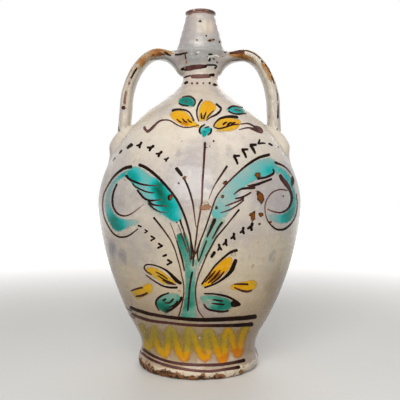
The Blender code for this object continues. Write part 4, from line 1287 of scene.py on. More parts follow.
leafLines = [
    ([(181.8, 283.8), (178, 281.6), (174.6, 278.4), (167.5, 271.3), (159.5, 266.8), (150.5, 264.6),
      (145.6, 265.2), (144.4, 268), (146.6, 271.4), (152.3, 274.8)], (2.4, 2.6, 1.6, 1.1, 1.1, 1.1, 0.9),
      (1, 1, 0.9, 0.8, 0.8, 0.75, 0.6)),
    ([(145.6, 274.8), (153.2, 280.2), (162, 285.5), (170, 287.5), (178, 287.4)], (0.8, 1.1, 1.4, 1.7),
      (0.6, 0.75, 0.85, 0.95)),
    ([(155.4, 271.6), (162, 275.2), (168, 279.4)], (0.8, 1.1, 0.8), (0.6, 0.75, 0.6)),
    ([(157.6, 275.4), (165, 280), (174, 283.6)], (0.8, 1.2, 0.9), (0.65, 0.8, 0.7)),
    ([(162, 280), (168.4, 283.2), (176, 284.8)], (0.7, 1.1, 0.9), (0.6, 0.75, 0.7)),
    ([(201.4, 284.6), (207.7, 275.7), (215.7, 265), (225.5, 256), (231.6, 251.8), (238, 250)],
      (1.4, 1.3, 1.4, 1.6, 2.2), (0.85, 0.8, 0.8, 0.9, 0.95)),
    ([(204, 287.8), (214.8, 283.8), (224.6, 277.5), (231.4, 270.4), (234.2, 264), (236.3, 258.8)],
      (1.3, 1.4, 1.9, 3, 2.6), (0.8, 0.85, 0.95, 1, 0.8)),
    ([(204.6, 282.6), (210.4, 276.6), (215.6, 270.6)], (0.9, 1.2, 0.9), (0.65, 0.8, 0.7)),
    ([(207.6, 283.4), (214.6, 277.4), (220.4, 269.8)], (0.9, 1.4, 1), (0.7, 0.85, 0.75)),
    ([(211, 283.6), (218.8, 278), (224.4, 271)], (0.9, 1.3, 1), (0.65, 0.8, 0.7)),
    ([(169.3, 292.7), (160.4, 296.3), (156, 301.6), (157, 306.6), (159.4, 311)], (1.1, 1.4, 1.6, 1.3, 0.9),
      (0.75, 0.85, 0.9, 0.8, 0.6)),
    ([(181.8, 296.4), (180.4, 300.6), (177, 305), (171, 309.6), (165.7, 311.4)], (2.2, 1.8, 1.6, 1.7, 1.5),
      (0.95, 0.9, 0.85, 0.9, 0.9)),
    ([(166.4, 298.4), (163.6, 300.4), (161.6, 300.8)], (1.4, 1.5, 0.9), (0.9, 0.9, 0.6)),
    ([(173.8, 298), (170, 302.4), (164.2, 302.8)], (1.2, 1.4, 0.9), (0.8, 0.85, 0.6)),
    ([(178.2, 300.4), (174, 305.2), (167.4, 307.4)], (1.2, 1.4, 0.9), (0.8, 0.85, 0.6)),
    ([(203.7, 293.6), (214.8, 294), (226.4, 296.3), (235.4, 300.7), (240.7, 304.3)],
      (1.1, 1.2, 1.6, 1.8, 0.9), (0.85, 0.85, 0.95, 1, 1)),
    ([(230.4, 303.4), (235, 304), (241, 304.8)], (4.4, 4.6, 0.9), (1, 1, 1)),
    ([(203.2, 303.4), (207.7, 308.8), (215.7, 311), (223, 311.6), (229, 310.5)], (1.1, 1.5, 1.5, 1.2),
      (0.6, 0.85, 0.9, 0.8)),
    ([(212.4, 299.6), (218.4, 300.4), (223.4, 301.2)], (1, 1.4, 1), (0.8, 0.9, 0.8)),
    ([(211.4, 303.2), (217, 303.8), (224.8, 304.6)], (0.9, 1.4, 1.2), (0.7, 0.85, 0.85)),
    ([(130.4, 291.2), (136.4, 288.8), (143.4, 287.3)], (0.9, 1.3, 1.3), (0.55, 0.65, 0.7)),
    ([(135.4, 296.3), (141.6, 295.6), (148, 292.7)], (1.2, 1.6, 1.4), (0.6, 0.7, 0.7)),
    ([(233.6, 284.4), (241.6, 284), (248.8, 284.4)], (1, 1.4, 1.5), (0.6, 0.7, 0.8)),
    ([(233.8, 287.2), (241.6, 290.6), (247.6, 291.4), (252.3, 290)], (1, 1.4, 1.6, 1.2),
      (0.6, 0.65, 0.7, 0.6)),
]
neckLines = [
    ([(180.4, 69.6), (184, 68.8), (188.4, 68.4), (193, 67.4), (199.6, 66.7), (205, 66.3), (207.4, 66)],
      (1.3, 2.8, 3.8, 3.4, 3.3, 2.8, 1.9), (0.95, 0.66, 0.5, 0.62, 0.52, 0.74, 0.95)),
    ([(206, 65), (211, 65), (214.6, 65.1), (216.4, 66.2), (215.8, 67.8), (213.8, 68)],
      (1.3, 1.4, 1.3, 1.3, 1.4, 1.5), (1.1, 1.1, 1.1, 1.1, 1.1, 1.1)),
    ([(183.8, 78), (187, 76.5), (191.4, 75.5)], (1, 1.1, 1), (0.9, 0.85, 0.8)),
    ([(190.6, 76.6), (197, 76.4), (204, 76.2), (209.6, 75.8)], (2.6, 2.9, 2.8, 2.8),
      (0.45, 0.38, 0.32, 0.5)),
    ([(191.6, 77.6), (198, 77.8), (205, 77.4), (211, 77)], (0.9, 1.1, 1, 1), (0.7, 0.75, 0.7, 0.8)),
    ([(208.6, 75), (212, 74.9), (214.9, 74.9)], (1.6, 2, 2.8), (0.95, 1, 1.1)),
]
strapLines = [
    ([(137.2, 67.8), (135.4, 70.6), (133, 74.6), (130.8, 78.8)], (1.5, 1.5, 1.4, 1.4), (1, 1, 0.9, 0.85)),
    ([(129.7, 81.6), (128.6, 85)], (1.2, 1.5), (0.4, 0.36)),
    ([(127.8, 87.4), (127.6, 88.8)], (1.4, 1.4), (0.5, 0.45)),
    ([(126.2, 91), (125, 97), (124.4, 104.4)], (1.4, 1.6, 1.6), (0.25, 0.24, 0.28)),
    ([(121.4, 107.4), (123.4, 107.8), (124.6, 109.8)], (1.8, 3.2, 2.4), (0.75, 0.7, 0.65)),
    ([(164, 51.8), (167, 53.8), (171.6, 56)], (1.2, 1.6, 0.9), (0.8, 0.95, 0.7)),
    ([(160.6, 53.6), (165, 55)], (1, 1), (0.6, 0.6)),
    ([(151.6, 55), (154.6, 55)], (0.9, 1), (0.6, 0.5)),
    ([(229.8, 54), (233, 52.4), (237.6, 52.2), (243.2, 50.6)], (1.2, 2.4, 2.2, 2.6),
      (0.85, 0.75, 0.55, 0.7)),
    ([(244.6, 50), (250, 51.2), (256, 54.2), (261, 58.6)], (1.2, 1.5, 1.4, 1.8), (0.75, 0.7, 0.65, 0.75)),
    ([(261.6, 59.6), (264, 62.6)], (2.2, 2.6), (0.85, 0.85)),
    ([(265, 63.6), (268.4, 68), (271.2, 73.6)], (1.3, 1.5, 1.3), (0.6, 0.65, 0.65)),
    ([(271.6, 75), (273.2, 79), (274.8, 84)], (1.4, 1.8, 1.2), (0.7, 0.75, 0.6)),
    ([(274, 90.8), (274.2, 91.8)], (1.7, 1.6), (0.55, 0.5)),
    ([(270, 96.6), (270.4, 97.8)], (1.3, 1.3), (0.45, 0.4)),
]

# The zigzag between the foot bands, in the same terms

zigzagPath = [
    (141.5, 326.5), (143, 338), (148, 347), (151.5, 338), (154, 329), (156, 341), (160, 350.5),
    (166, 353.5), (168, 342), (168.6, 330), (173, 332), (176.6, 343), (180, 354), (185.5, 358),
    (187.4, 346), (187.4, 331), (191, 331.5), (195.6, 342), (199.6, 352), (205, 358.4), (208.4, 354),
    (206.4, 342), (206, 333), (210.6, 332), (214.4, 341), (218, 352), (222.4, 361.4), (224.6, 354),
    (224.2, 342), (226.6, 332), (230.6, 333), (233, 344), (236.6, 354), (239.8, 350), (241.4, 339),
    (245.6, 329),
]
zigzagLoads = [  # thin at the top where the brush turned, thick at the bottom where it left its load
    (142, 330, 0.2), (147, 345, 0.25), (153, 331, 0.2), (160, 349, 0.36), (166, 353, 0.5), (168, 338, 0.16),
    (170, 330, 0.14), (176, 343, 0.34), (180, 352, 0.52), (184, 357, 0.66), (187, 345, 0.2),
    (188, 331, 0.14), (195, 342, 0.36), (200, 353, 0.56), (206, 357, 0.66), (207, 344, 0.22),
    (208, 332, 0.18), (214, 342, 0.4), (218, 352, 0.58), (222, 360, 0.74), (224, 344, 0.36),
    (226, 333, 0.5), (230, 334, 0.52), (233, 344, 0.62), (237, 352, 0.84), (240, 342, 0.56),
    (245, 330, 0.46),
]
zigzagHaze = {
    "haze": ([(139, 326), (160, 328), (190, 331), (220, 331), (247, 327), (246, 343), (236, 352),
      (214, 356), (190, 355), (165, 351), (146, 344)], [(145, 334, 0.3), (170, 342, 0.3), (200, 345, 0.3),
      (230, 343, 0.4)]),
}

# Bands: the front as it shows, in photo pixels, and the back as turn in degrees and height in mm

bandLines = [
    ([(129.6, 306.8), (135, 309.4), (142.5, 311.8), (150, 313.9), (160, 315.8), (170, 317.3), (180, 318.4),
      (190, 319.3), (200, 319.8), (212, 319.7), (224, 319.2), (236, 318.5), (247, 317.7), (257, 316.2)],
      (1.6, 1.8, 1.7, 1.8, 1.9, 2.1, 2.2, 2.3, 2.4), (0.8, 0.8, 0.75, 0.85, 0.95, 1.05, 1.1, 1.1, 1.1)),
    ([(131.2, 313), (137, 316.2), (144, 318.8), (151, 320.6), (160, 322), (170, 323), (180, 324.2),
      (191, 325.1), (203, 325.5), (216, 325.6), (230, 325.4), (243, 324.9), (253.6, 324)],
      (1.3, 1.5, 1.4, 1.3, 1.4, 1.5, 1.6, 1.7, 1.9, 2.2),
      (0.5, 0.6, 0.6, 0.55, 0.6, 0.6, 0.7, 0.8, 1, 1.1)),
    ([(141, 346.6), (145, 350.6), (151, 354.6), (158, 358), (166, 360.9), (175, 363), (186, 364.4),
      (198, 365), (210, 365.1), (222, 364.4), (234, 362.6), (245.6, 360)],
      (1.4, 1.5, 1.4, 1.5, 1.5, 1.5, 1.6, 1.6, 1.7, 2),
      (0.6, 0.7, 0.6, 0.6, 0.55, 0.55, 0.6, 0.6, 0.75, 1.05)),
    ([(142, 352.4), (146, 356.2), (152, 359.8), (160, 363.2), (169, 366), (180, 368.4), (191, 370.2),
      (202, 371.2), (213, 371.1), (225, 369.4), (240.4, 366.8)],
      (1.3, 1.4, 1.5, 1.5, 1.4, 1.3, 1.5, 1.4, 1.5, 1.8),
      (0.55, 0.65, 0.55, 0.5, 0.45, 0.4, 0.55, 0.45, 0.6, 0.85)),
]
bandBacks = [
    ([(-58, 76), (-75, 75.6), (-92, 76.4), (-125, 78.4), (-165, 79.6), (-215, 78.4), (-252, 75.6),
      (-280, 73)], (1.8, 2, 2.1, 2, 1.6), (0.8, 0.8, 0.7, 0.8, 0.6)),
    ([(-58, 67), (-75, 66.6), (-92, 67.4), (-125, 69.6), (-165, 71.2), (-215, 70.2), (-252, 67.2),
      (-280, 64.6)], (1.7, 1.8, 1.8, 1.9, 1.5), (0.55, 0.6, 0.6, 0.6, 0.5)),
    ([(-60, 22.6), (-80, 22.6), (-125, 22), (-175, 20.8), (-225, 19.4), (-260, 18), (-280, 17.2)],
      (1.7, 1.9, 1.9, 1.9, 1.5), (0.6, 0.6, 0.6, 0.6, 0.5)),
    ([(-62, 17.8), (-82, 16.8), (-125, 15.8), (-175, 14.8), (-225, 13.4), (-260, 12.4), (-280, 11.6)],
      (1.7, 1.8, 1.8, 1.8, 1.4), (0.5, 0.5, 0.5, 0.5, 0.4)),
]
neckTicks = [  # plain dabs in a loose row
    ([(184, 83.8), (188.4, 81.6)], (1.5, 2.2), (0.8, 0.8)),
    ([(190.8, 83.4), (193.2, 83)], (1.9, 1.9), (0.52, 0.46)),
    ([(195.6, 83.4), (198.6, 83)], (1.7, 1.9), (0.46, 0.46)),
    ([(202.2, 83), (204.2, 83.4)], (1.7, 1.5), (0.56, 0.52)),
    ([(208.4, 82.6), (210.8, 83.6)], (1.7, 2), (0.85, 0.9)),
    ([(212.8, 84), (217.4, 85.8)], (2.1, 1.6), (1, 1)),
]

# Pools of pigment: outline in photo pixels, and how thick the pigment lies here and there inside it

copperPools = {
    "left_plume": ([(128, 170), (132.6, 166.2), (139, 166.8), (144, 169.6), (149, 173.6), (154.6, 176.8),
      (160, 180.4), (165, 185), (170, 190.6), (175, 197), (179, 204), (182, 212), (182.4, 219),
      (178, 222.4), (172, 221.6), (165, 217), (157.6, 213.4), (151.4, 210), (147.5, 204.5), (144.4, 199),
      (140, 194.4), (136, 189.6), (132, 184.8), (129, 180), (126.4, 175.4), (125.8, 171.8)],
      [(130.6, 172.6, 0.72), (137, 178.2, 0.72), (135, 169.2, 0.44), (142, 175, 0.34), (147, 180, 0.3),
      (151.6, 183.6, 0.56), (156.4, 187, 0.98), (160.4, 192.6, 1.06), (164, 199, 0.96), (167, 190.6, 0.62),
      (146, 186.4, 0.26), (150.6, 196, 0.34), (154, 207.6, 0.14), (161, 205, 0.86), (168, 213, 0.78),
      (168.6, 205.6, 0.84), (174, 210, 0.62), (179, 214, 0.4), (173.4, 218.8, 0.66), (140, 188, 0.22),
      (157.6, 211, 0.24), (172, 199, 0.54)]),
    "left_scroll": ([(132, 168.6), (125, 170.6), (118.4, 175), (112.4, 181), (107.4, 189), (105, 198),
      (104.8, 208), (106.6, 217), (110, 225.2), (114.2, 230.4), (119, 232), (124.6, 229.6), (130, 227),
      (136, 225.6), (140, 222.6), (137, 218.6), (129, 218.8), (121.4, 218), (115.4, 214.2), (111.6, 207),
      (111, 198), (112.8, 190), (116.6, 183.4), (122, 178.8), (126.4, 176.6), (126.4, 172)],
      [(128, 171.6, 0.74), (123, 175.6, 0.66), (116, 180.6, 0.38), (110.6, 188, 0.22), (107.4, 198, 0.14),
      (108.6, 206, 0.3), (109, 213, 0.56), (112.6, 219, 0.84), (116, 224, 0.84), (119.6, 228.6, 0.78),
      (122.6, 222.6, 0.56), (128, 222.4, 0.26), (135, 222, 0.1)]),
    "right_plume": ([(275.4, 160.4), (272, 157.8), (266, 157.2), (258, 159.6), (250, 163.4), (243, 168.4),
      (237, 173.4), (231, 179.4), (225, 186.4), (220, 193), (216, 199.6), (213, 207), (211.2, 214),
      (214, 218.4), (216.5, 221), (221, 219.4), (226, 218), (229.4, 213), (233, 208.4), (230, 205),
      (236, 200), (238.6, 196), (238, 193.4), (241.4, 189.6), (247, 186), (250.6, 183.4), (257, 180),
      (264, 177.6), (271.4, 174.8), (275, 171), (276.6, 165)], [(268.6, 160.6, 0.28), (268.6, 169.4, 0.6),
      (261, 167, 0.34), (264.6, 173, 0.46), (256, 164.4, 0.26), (257, 178.4, 0.46), (249.4, 172, 0.2),
      (251.6, 179.4, 0.44), (244.4, 177, 0.2), (242, 171.6, 0.22), (239, 184, 0.26), (236, 180, 0.28),
      (231, 188, 0.2), (226, 194, 0.16), (222.6, 203, 0.12), (216.6, 209, 0.3), (214.4, 215, 0.42),
      (226, 212, 0.2), (231.6, 197, 0.22), (220, 198, 0.14), (247, 183.6, 0.38)]),
    "right_scroll": ([(272.8, 164.4), (278, 165.6), (284.6, 169), (289.4, 174.6), (292.6, 182), (295, 190),
      (296.6, 200), (296, 210), (293.4, 217.8), (288.6, 222.4), (282, 224), (275, 223), (269, 220),
      (266.6, 214.6), (272, 213), (280, 214), (286.2, 211.4), (290.6, 205), (292.2, 197), (290.6, 189),
      (286.6, 182.6), (283, 178), (280, 173.4), (277.6, 175), (274.6, 173), (272.4, 168.6)],
      [(276, 169.4, 0.42), (282.4, 171, 0.5), (287, 176.4, 0.58), (290.6, 184, 0.56), (293.4, 192, 0.6),
      (294, 202, 0.66), (291.6, 210, 0.78), (288, 216, 0.8), (284, 218.6, 0.76), (277, 218.6, 0.24),
      (270, 217, 0.12)]),
    "top_left_leaf": ([(178.6, 99.2), (182, 96.8), (188.6, 96.2), (193.4, 98.6), (195, 103), (193.6, 107.4),
      (188, 106.6), (182, 105.6), (178.4, 103.4)], [(182, 100.6, 0.88), (187, 99.6, 0.92),
      (190, 102.6, 0.78), (192.4, 105.4, 0.94), (181, 103.4, 0.8)]),
    "top_right_leaf": ([(226.4, 108.8), (230.6, 106), (237, 106), (242.4, 108), (245, 112.4),
      (240.6, 114.8), (234, 114.2), (229, 112.2)], [(230, 109.4, 0.58), (236, 109.6, 0.66),
      (241, 111.4, 0.84)]),
    "flower_heart": ([(199.8, 129.8), (203, 126.6), (208, 125.6), (211.8, 128.4), (210.8, 132.4),
      (207.4, 135.4), (204, 138.4), (201.4, 135.4), (199.4, 132.6)], [(202.4, 129, 0.36), (206, 130, 0.4),
      (209.6, 127.8, 0.84), (203.6, 134, 0.92), (204, 137, 0.8)]),
}
stemPools = {
    "stem": ([(184.6, 258), (191, 256), (196.4, 260.6), (198.6, 266), (197.2, 276), (195.6, 287),
      (195.2, 297), (195.8, 307), (196.6, 316), (192, 320), (184, 320), (179.8, 318.6), (182.8, 308),
      (184.6, 296), (185.4, 284), (184.8, 272)], [(187.4, 262, 0.56), (194, 264, 0.16), (188, 274, 0.54),
      (194.6, 274, 0.26), (187.6, 290, 0.6), (193, 286, 0.5), (193, 300, 0.6), (187, 304, 0.74),
      (184, 316, 0.56), (190.4, 313, 0.42)]),
    "left_tongue": ([(176.4, 237), (178.4, 233.4), (181.8, 234), (184.8, 241), (187.4, 250), (189.6, 260),
      (186, 266), (182, 256), (178.2, 246)], [(180.6, 237.6, 0.78), (183, 245, 0.66), (186, 254, 0.6),
      (188, 261, 0.5)]),
    "left_tongue_inner": ([(182.6, 234), (184.6, 231.6), (188, 238.6), (191.4, 250), (192.6, 262),
      (188.4, 265), (186.2, 252), (183.4, 242)], [(185.6, 238, 0.7), (188, 247, 0.6), (189.6, 256, 0.52)]),
    "right_tongue": ([(214, 215), (218, 218), (225.6, 220.6), (221, 228.6), (216, 237.4), (210.4, 247.4),
      (204.6, 257.8), (198.6, 267), (195.4, 262), (198.8, 252), (202.6, 241.6), (206.4, 231.6),
      (210.4, 222)], [(218, 223, 0.3), (213, 232, 0.32), (208.6, 241, 0.4), (203.4, 251, 0.36),
      (199, 261, 0.34)]),
    "left_leaf": ([(157, 300.4), (161, 296.6), (167, 293.6), (172.6, 292.6), (178.4, 294), (180.6, 298.4),
      (178.4, 303.4), (174, 308), (169.4, 312), (166.4, 314), (163, 312), (158.6, 309), (156.2, 304.6)],
      [(161.6, 299.6, 0.5), (167, 298, 0.36), (173, 297, 0.3), (171, 303, 0.56), (165, 304, 0.76),
      (160.6, 306, 0.84), (165.6, 310, 1), (176.6, 300, 0.5)]),
    "right_leaf": ([(199.6, 297.6), (205.6, 294.8), (214, 295.4), (222, 296.6), (229.4, 299.6),
      (234, 304.6), (229.6, 309.4), (222, 311), (214, 310.4), (208, 307.4), (203.4, 302.6)],
      [(203.4, 298, 0.46), (210, 298.4, 0.54), (218, 299.4, 0.62), (209, 302.4, 0.1), (215, 303, 0.3),
      (213.6, 307.4, 0.66), (220.6, 305.4, 0.86), (226, 306, 0.74)]),
}
copperTints = {
    "plume_bleed": ([(134, 161), (146, 164), (158, 175), (169, 186), (178, 200), (182, 216), (174, 220),
      (166, 200), (152, 186), (138, 176)], [(140, 166, 0.1), (154, 177, 0.14), (168, 192, 0.12),
      (176, 208, 0.1)]),
    "feather_bleed": ([(132, 184), (142, 184), (156, 190), (170, 206), (178, 222), (180, 236), (172, 232),
      (160, 222), (148, 214), (138, 198)], [(140, 190, 0.14), (156, 212, 0.2), (168, 224, 0.16),
      (176, 232, 0.16)]),
    "stem_bleed": ([(181, 262), (199, 258), (203, 272), (199, 290), (202, 306), (204, 320), (176, 320),
      (180, 300), (182, 280)], [(184, 270, 0.06), (198, 272, 0.14), (198, 292, 0.12), (186, 300, 0.1),
      (199, 312, 0.08)]),
    "right_bleed": ([(262, 156), (244, 164), (228, 178), (214, 198), (208, 220), (204, 244), (212, 240),
      (224, 224), (236, 208), (244, 196), (252, 186), (266, 180)], [(250, 168, 0.08), (228, 190, 0.1),
      (212, 224, 0.16), (226, 214, 0.16), (240, 196, 0.14)]),
}
yellowPools = {
    "middle_petal": ([(198.6, 121), (198.4, 115), (199.2, 109), (201, 104), (204, 101), (208, 100.4),
      (212, 102), (215, 104.4), (216.4, 108), (214, 112), (210, 116.6), (206, 120.6), (202, 121.6)],
      [(200.4, 118, 0.34), (201.6, 108, 0.48), (206.6, 104, 0.64), (207, 110, 0.6), (212.6, 106, 0.6),
      (211.6, 113, 0.44), (204.6, 118, 0.36)]),
    "left_petal": ([(170.6, 113), (175, 110.6), (182, 110.4), (187.6, 113), (191, 117.6), (195, 121.6),
      (199.4, 125), (198, 128), (191, 126.6), (184.6, 126.6), (178.4, 123.6), (173, 119.6), (170.4, 116.4)],
      [(173.6, 114, 0.55), (180, 113.6, 0.5), (185.6, 116.6, 0.5), (178, 119.6, 0.55), (186, 123.6, 0.78),
      (193, 123.6, 0.46), (197.6, 126.6, 0.5)]),
    "right_petal": ([(213.8, 126.4), (214.8, 122.4), (218.6, 119.4), (224, 117.6), (231, 118),
      (238.4, 119.2), (241, 122), (239.8, 125.4), (236, 129.6), (229, 131.6), (222, 131.8), (215.6, 131.6),
      (217, 128.6)], [(218, 123, 0.36), (225, 120.6, 0.44), (233, 120.6, 0.56), (238.6, 122.4, 0.58),
      (228, 125, 0.6), (217.6, 129.6, 0.3), (229, 129.6, 0.36)]),
    "low_left_petal": ([(145.4, 269.4), (149, 267.2), (155, 267.6), (162, 271), (168.4, 276), (174, 281),
      (176.4, 283.4), (171, 284.8), (163.6, 283.8), (156.6, 279.8), (150.4, 275), (146.4, 272.4)],
      [(150, 270.6, 0.42), (157, 272.6, 0.46), (157, 277, 0.34), (165, 277.6, 0.5), (170, 281.6, 0.44)]),
    "low_right_petal": ([(201.6, 285), (206, 277.6), (212, 270), (219, 263), (225.4, 258), (231, 256.6),
      (232.4, 261.6), (230.4, 268), (226, 272.6), (220, 278.4), (213, 283.4), (206, 287)],
      [(205, 283.6, 0.52), (211, 278, 0.8), (217, 276, 0.84), (216, 268, 0.56), (223.6, 262, 0.6),
      (228.6, 260.6, 0.56), (226, 269, 0.62)]),
    "left_blossom": ([(132, 291.4), (138, 287.6), (144, 285), (148.6, 283), (152.4, 286), (152.6, 290.6),
      (149.4, 294.6), (143, 297.6), (138, 300), (134.6, 297)], [(137, 291.6, 0.34), (144, 290, 0.4),
      (149, 287.6, 0.48), (139, 297, 0.22), (146.6, 293.4, 0.3)]),
    "right_blossom": ([(230, 287.6), (232.4, 284.4), (238, 282.6), (246, 281), (253, 279.6), (257, 283),
      (255, 288.6), (248, 291), (240, 290.4), (233, 290)], [(234.6, 286.6, 0.5), (241, 286.4, 0.6),
      (248, 286.4, 0.56), (253.4, 283, 0.38)]),
}
strapStains = {
    "left_crown": ([(133.4, 69), (136, 63.4), (141, 57.6), (147.6, 52.6), (154.6, 48.6), (162, 48),
      (167.4, 49.4), (168, 53.6), (162.6, 55.4), (156, 56.6), (150.4, 58), (147, 61.6), (142.6, 66.4),
      (138, 69.6)], [(141, 62, 0.5), (137, 66, 0.26), (146, 57, 0.28), (151, 52.4, 0.34),
      (153.4, 56.4, 0.5), (158.6, 51, 0.56), (161, 54, 0.86), (165.6, 53.6, 0.95), (166, 50, 0.6)]),
    "left_flank": ([(133.6, 69), (137, 69.6), (132.6, 78), (129, 88), (127.2, 98), (126, 108), (123.6, 108),
      (124, 98), (126, 88), (129.6, 78)], [(134, 72, 0.25), (130, 82, 0.22), (127, 92, 0.2),
      (125, 104, 0.16)]),
    "right_crown": ([(228.4, 51.6), (234, 48.6), (240, 48.4), (244.6, 49.6), (244.6, 54), (241.6, 57.8),
      (235, 57.8), (229.6, 55.6)], [(231, 53, 0.66), (236, 51.6, 0.94), (241.6, 51, 0.98), (237, 56, 0.46),
      (241, 56, 0.62), (232, 56, 0.4)]),
    "right_bend": ([(242, 54.6), (249, 55.4), (254, 58), (257, 61.6), (254, 65.4), (247.6, 62.6),
      (242, 61)], [(245, 57.6, 0.42), (250, 60, 0.26), (254.6, 62, 0.16)]),
    "right_flank": ([(261, 62.6), (266, 65), (271, 71.6), (274, 79), (271, 82.6), (267, 76), (263, 69)],
      [(264.6, 66.6, 0.44), (268, 72, 0.36), (270, 78, 0.44)]),
    "left_root": ([(161, 50), (168, 48.6), (173, 50.6), (174, 54), (168, 55.6), (162, 54.6)],
      [(168, 50, 0.34), (171, 53, 0.26)]),
}
softLights = [  # a painted highlight beside the stem
    ([(198.4, 262), (196.8, 274), (195.8, 286)], (2.6, 3.4, 2.4), (0.5, 0.6, 0.4)),
]
paleRunsAndHighlights = [  # paler glaze in places, and painted highlights and glints where the glaze caught the light
    ([(196.6, 52.4), (199.8, 52)], (1.8, 2), (1, 1)),
    ([(190.8, 53.4), (193, 53.6)], (1.4, 1.6), (0.5, 0.5)),
    ([(176, 52.6), (178.4, 52)], (1.6, 1.8), (0.4, 0.4)),
    ([(208, 59.2), (209.2, 56.4), (213, 56), (216.6, 55.4), (219, 57.2)], (1.8, 1.8, 1.6, 2.4, 2),
      (0.6, 0.6, 0.7, 0.8, 0.8)),
    ([(212.6, 60), (214.4, 59.6)], (1.6, 1.6), (0.7, 0.7)),
    ([(226.6, 53), (229, 52.6)], (1.4, 1.8), (0.7, 0.7)),
    ([(171.4, 51.6), (175.4, 53)], (2, 2.2), (0.4, 0.5)),
    ([(192.6, 10), (194.6, 9.4), (194.4, 11.4)], (1, 1.8, 1.4), (0.4, 0.6, 0.5)),
    ([(129.6, 75.6), (126, 84.6), (123.6, 94), (122.2, 104)], (1.6, 2, 2.2, 1.6), (0.35, 0.45, 0.5, 0.4)),
    ([(121.8, 112.6), (121.4, 120), (121.6, 127.6)], (3, 3.4, 3), (0.3, 0.35, 0.3)),
    ([(272, 80.6), (274.4, 90), (275.2, 100), (275.4, 114), (275.8, 126)], (1.6, 2.6, 3, 3, 2.6),
      (0.3, 0.4, 0.4, 0.35, 0.35)),
    ([(244.4, 52.4), (251, 54.2), (255.6, 56.6)], (1.6, 1.8, 1.4), (0.6, 0.55, 0.4)),
    ([(136, 66.6), (139.6, 64.2)], (3, 3.4), (0.25, 0.2)),
    ([(255.6, 351.6), (256.4, 356.6), (254.6, 361.4), (249, 365.8)], (1.6, 2.4, 2.2, 2.4),
      (0.7, 0.9, 0.8, 0.6)),
    ([(156, 168.8), (161, 172.6)], (2, 2.4), (0.25, 0.25)),
]
grimeAndCreaseShade = [  # grime at the seams, and painted shade darkening the creases and hollows there
    ([(174.6, 54.8), (179, 54.6), (183, 53.6), (187.8, 52.6)], (1.8, 2, 1.7, 1.4), (0.95, 1, 0.95, 0.8)),
    ([(184.8, 53.4), (185.4, 56.4), (186, 59.4)], (1.1, 1.2, 1.7), (0.85, 0.85, 0.95)),
    ([(186, 60), (186.2, 64)], (1.4, 1), (0.3, 0.2)),
    ([(208, 54.4), (210.4, 54.2), (212.8, 54.4)], (1.5, 2, 1.4), (0.9, 0.95, 0.85)),
    ([(194.6, 54.2), (197.6, 54.2)], (0.9, 1.1), (0.45, 0.5)),
    ([(209.6, 57.6), (209.8, 59.6), (208.4, 61.4)], (1.8, 2.2, 2.4), (0.8, 0.9, 0.85)),
    ([(212.4, 58.4), (214.8, 59.6)], (1.6, 2.2), (0.8, 0.85)),
    ([(206.6, 56.8), (208.4, 57)], (0.9, 1), (0.7, 0.6)),
    ([(221.6, 57), (223.4, 55.6)], (1.2, 1), (0.75, 0.7)),
    ([(216.6, 61), (218, 64)], (1.8, 1.6), (0.3, 0.35)),
    ([(223.8, 52.8), (226.4, 51.8)], (1.2, 1.3), (0.8, 0.8)),
    ([(118.6, 127), (119.2, 130.6), (120.6, 133), (122.6, 134.6), (124.6, 133.8), (126.4, 131.6),
      (128.2, 128.4)], (0.8, 1.2, 1.7, 2.2, 2.2, 2, 1), (0.7, 0.75, 0.85, 1, 0.95, 0.95, 0.85)),
    ([(119, 136.4), (122.4, 137.4), (126.6, 135.6)], (2, 2.6, 2.6), (0.3, 0.35, 0.22)),
    ([(118, 119), (118.2, 124), (118.4, 128.6)], (0.8, 1.1, 1), (0.6, 0.75, 0.75)),
    ([(266.6, 121), (267.8, 125), (270, 129), (272.6, 133), (275.2, 137.6)], (1, 1.6, 1.7, 1.8, 2),
      (0.9, 0.95, 0.9, 0.9, 0.85)),
    ([(278, 127.8), (276.6, 130.6), (275.8, 134), (275.6, 137)], (0.7, 0.9, 0.9, 1.1),
      (0.6, 0.6, 0.65, 0.8)),
    ([(276, 135), (279, 138.6), (282.4, 142.4)], (1.2, 1.3, 0.9), (0.7, 0.6, 0.35)),
    ([(277.6, 140.4), (280.4, 143.6)], (1.4, 1), (0.22, 0.15)),
    ([(283, 149), (286.4, 156)], (1.8, 2), (0.26, 0.22)),
    ([(116.4, 144), (113.6, 149.6), (111.4, 156)], (1.4, 2.4, 1.4), (0.15, 0.22, 0.15)),
    ([(277.9, 103), (278, 110), (277.8, 118.6)], (0.9, 1.3, 1.9), (0.6, 0.85, 1.1)),
    ([(276.4, 88.4), (277.2, 94), (277.8, 101)], (0.9, 1, 0.9), (0.45, 0.45, 0.45)),
    ([(150, 59.2), (156, 58.9), (163, 58.9)], (0.8, 1.1, 0.8), (0.3, 0.35, 0.2)),
    ([(232, 60.6), (238, 60), (243, 60.4)], (0.8, 1.2, 0.8), (0.35, 0.5, 0.4)),
]

# Small bird's-foot dabs: where each sits in photo pixels, its turn in degrees, size in pixels and kind

